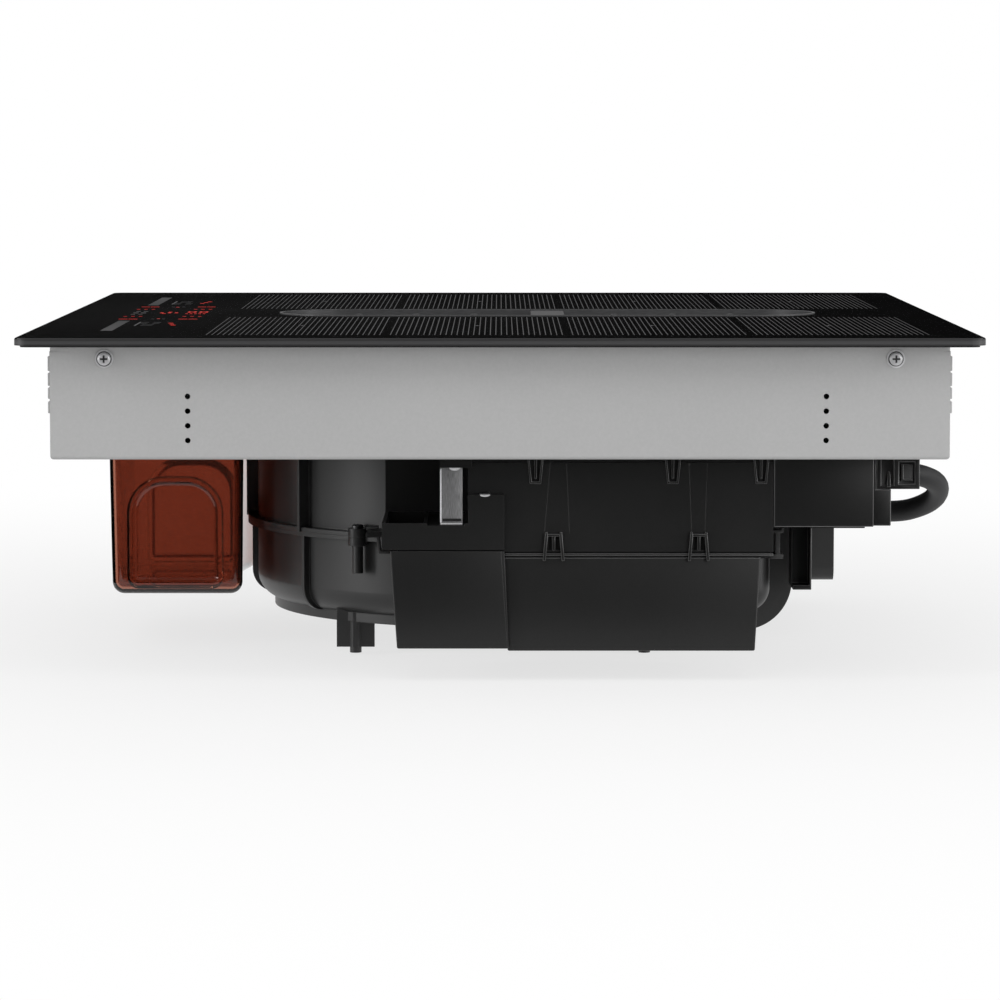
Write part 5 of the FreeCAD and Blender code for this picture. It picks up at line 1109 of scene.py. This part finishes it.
# %% Hoods
LOUVRE_COLUMNS = 9
LOUVRE_PITCH_X = 44
LOUVRE_ROWS = 4
LOUVRE_PITCH_Z = 7.5
WALL_Y = 242.5
first_x = -(LOUVRE_COLUMNS - 1) / 2 * LOUVRE_PITCH_X
hoods = block("louvre_hoods", first_x - 17.6, first_x + 17.6, -WALL_Y - 1.5, -WALL_Y + 0.2, -12.6, -6.2)
pick_edges(hoods, lambda place, way: abs(way.x) > 0.9 and place.y < -WALL_Y and place.z > -7)
move_picked(0, 1.1, 0)
cut(hoods, block("under", first_x - 16.9, first_x + 16.9, -WALL_Y - 0.9, -WALL_Y + 1, -13, -8.2))
round_edges(hoods, 0.35, segments=3)
repeat(hoods, LOUVRE_COLUMNS, (LOUVRE_PITCH_X, 0, 0))
repeat(hoods, LOUVRE_ROWS, (0, 0, -LOUVRE_PITCH_Z))

# %% Folds and tabs
FOLD_XS = (271.5, 275.9)
FOLD_YS = (238.3, WALL_Y - 0.1)
TAB_XS = (262, 273.5)
TAB_YS = (WALL_Y - 0.3, WALL_Y + 1.3)
TAB_HEIGHTS = ((-13.8, -5.8), (-21.8, -14.8), (-28.8, -22.8), (-36.6, -30.2))


def corner_block(name, side_x, side_y, xs, ys, z0, z1):
    """A block noted for the corner where X and Y are positive, put at any of the four corners."""
    return block(name, *sorted(side_x * x for x in xs), *sorted(side_y * y for y in ys), z0, z1)


folds = []
for side_x in (-1, 1):
    for side_y in (-1, 1):
        fold = corner_block("fold", side_x, side_y, FOLD_XS, FOLD_YS, -5, 0.8)
        pick_edges(fold, lambda place, way: upright(way) and abs(place.x) > 275 and abs(place.y) > WALL_Y - 1)
        bevel_picked(2, 5)
        tabs = [corner_block("tab", side_x, side_y, TAB_XS, TAB_YS, *heights) for heights in TAB_HEIGHTS]
        folds += [fold] + [round_edges(tab, 0.5, segments=3) for tab in tabs]
casing_parts = [hoods, twin(hoods, mirror=True), *folds]
casing_details = smooth(give(join("casing_hoods_and_folds", casing_parts), zinc_sheet))
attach(casing_details, "hob")
tell(casing_details)

# %% [markdown]
# ## Studs on the inlet grille
#
# Six low studs stand in a row beside the grip block, three on each side. A pan that is pushed over the
# inlet slides on them. Each is a short post with a rounded head.

# %% Studs
STUD_X = 20
STUD_YS = (-84.5, -50.1, -15.7, 68.2, 103.2, 137.6)
STUD_BASE = -1.4
STUD_TOP = 5.3
studs = []
for y in STUD_YS:
    stud_middle = (STUD_X, y, (STUD_BASE + STUD_TOP) / 2)
    stud = post("stud", 2.4, STUD_TOP - STUD_BASE, stud_middle, sides=24)
    pick_edges(stud, lambda place, way: place.z > 5 and abs(way.z) < 0.1)
    bevel_picked(1.1, 5)
    studs.append(stud)
grille_studs = smooth(give(join("grille_studs", studs), grille_coat), 45)
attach(grille_studs, "grille")
tell(grille_studs)

# %% [markdown]
# ## Floor, backdrop and light
#
# The photograph has a plain white ground. The floor is pale and keeps the object's shadow, and far from the
# object it fades into the white backdrop. The light is a soft tent: a broad light above, narrow ones at
# both sides, a weak one behind and a strip that draws a soft gradient on the boxes. Gloss mirrors what
# surrounds it, so dark cards stand behind, in front and low around the object. They are there for
# reflections only, as photographers use them.

# %% Floor
FLOOR_Z = -188.2
FLOOR_RADIUS = 14
FADE_START = 0.35
FADE_END = 1.1
NEAR_WHITE = 0.72
SHOWN_WHITE = 1.0


def background_rays(tree):
    """1 for rays that should see the white ground: from the camera, off gloss and through clear plastic."""
    rays = node(tree, "LightPath").outputs
    seen = calc(tree, "MAXIMUM", rays["Is Camera Ray"], rays["Is Glossy Ray"])
    return calc(tree, "MAXIMUM", seen, rays["Is Transmission Ray"])


bpy.ops.mesh.primitive_circle_add(vertices=96, radius=FLOOR_RADIUS, fill_type="NGON",
                                  location=(0, 0, FLOOR_Z * MM))
floor = settle(bpy.context.object, "floor")
floor_material = new_material("floor_white")
tree, shader, place = open_up(floor_material)
tree.nodes.remove(shader)
distance = node(tree, "VectorMath", {0: place}, operation="LENGTH")
fade = node(tree, "MapRange", {"Value": distance, "From Min": FADE_START, "From Max": FADE_END,
                               "To Min": NEAR_WHITE}, interpolation_type="SMOOTHSTEP")
share = calc(tree, "MULTIPLY", background_rays(tree), fade)
near_floor = node(tree, "BsdfDiffuse", {"Color": (0.86, 0.86, 0.86, 1)})
glow = node(tree, "Emission", {"Strength": SHOWN_WHITE})
mixed = node(tree, "MixShader", {0: share, 1: near_floor, 2: glow})
feed(tree, tree.nodes["Material Output"], {"Surface": mixed})
give(floor, floor_material)

# %% World
AMBIENT = 0.55
world = bpy.data.worlds.new("studio")
bpy.context.scene.world = world
world.use_nodes = True
tree = world.node_tree
tree.nodes.clear()
tent, ground = (node(tree, "Background", {"Color": (1, 1, 1, 1), "Strength": level})
                for level in (AMBIENT, SHOWN_WHITE))
mixed = node(tree, "MixShader", {0: background_rays(tree), 1: tent, 2: ground})
node(tree, "OutputWorld", {"Surface": mixed})
print("world nodes", len(tree.nodes))


# %% Dark cards
def dark_card(name, x0, x1, y0, y1, z0, z1, level):
    """A card that only gloss sees."""
    card = block(name, x0, x1, y0, y1, z0, z1)
    give(card, finish(name + "_cloth", grey(level), grey(level), (0.9, 1.0), specular=0.0, scales=(40, 3)))
    card.visible_camera = False
    card.visible_diffuse = False
    card.visible_transmission = False
    card.visible_shadow = False
    return card


card_behind = dark_card("card_behind", -3400, -3380, -3600, 3600, -180, 3600, 12)
dark_card("card_front", 3400, 3420, -1500, 1500, -180, 1500, 60)
for name, x0, x1, y1 in (("card_floor", 330, 3300, 1700), ("card_floor_behind", -3300, -340, -260),
                         ("card_floor_left", -330, 320, -420)):
    dark_card(name, x0, x1, -1700, y1, -187, -185, 34)

# %% Sheen on the card behind
# The card behind is lighter in one low band, more so to the left: the black glass mirrors it as a soft sheen.
BAND_RAMPS = (("Z", 0.125, 0.165), ("Z", 0.2, 0.17), ("Y", 0.75, -0.7))
tree, shader, place = open_up(card_behind.data.materials[0])
axes = node(tree, "SeparateXYZ", {0: place}).outputs
start, end, left = (remap(tree, axes[axis], "From", low, high, interpolation_type="SMOOTHSTEP")
                    for axis, low, high in BAND_RAMPS)
band = calc(tree, "MULTIPLY", calc(tree, "MULTIPLY", start, end), left)
feed(tree, shader, {"Base Color": mix(tree, band, grey(14), grey(48))})

# %% Lamps
# A lamp is noted as its name, its place, the spot that it looks at, its size and its power.
LAMPS = (("top_light", (1.9, 0, 2.2), (0.1, 0, -0.05), (2.2, 1.8), 16),
         ("left_light", (0.9, -2.2, 0.2), (0.1, 0, -0.1), (0.4, 1.6), 24),
         ("right_light", (0.9, 2.2, 0.2), (0.1, 0, -0.1), (0.4, 1.6), 22),
         ("back_light", (-2.2, 0, 1.6), (0, 0, -0.05), (1.6, 1.2), 12),
         ("strip_light", (2.6, 1.4, 0.35), (0.1, -0.19, -0.11), (0.5, 1.4), 14))
for name, spot, target, size, power in LAMPS:
    light = bpy.data.lights.new(name, "AREA")
    light.shape = "RECTANGLE"
    light.size, light.size_y = size
    light.energy = power
    lamp = link_new(name, light)
    lamp.location = spot
    lamp.rotation_euler = (Vector(target) - Vector(spot)).to_track_quat("-Z", "Y").to_euler()
    lamp.visible_camera = False
print("lamps", len(LAMPS))
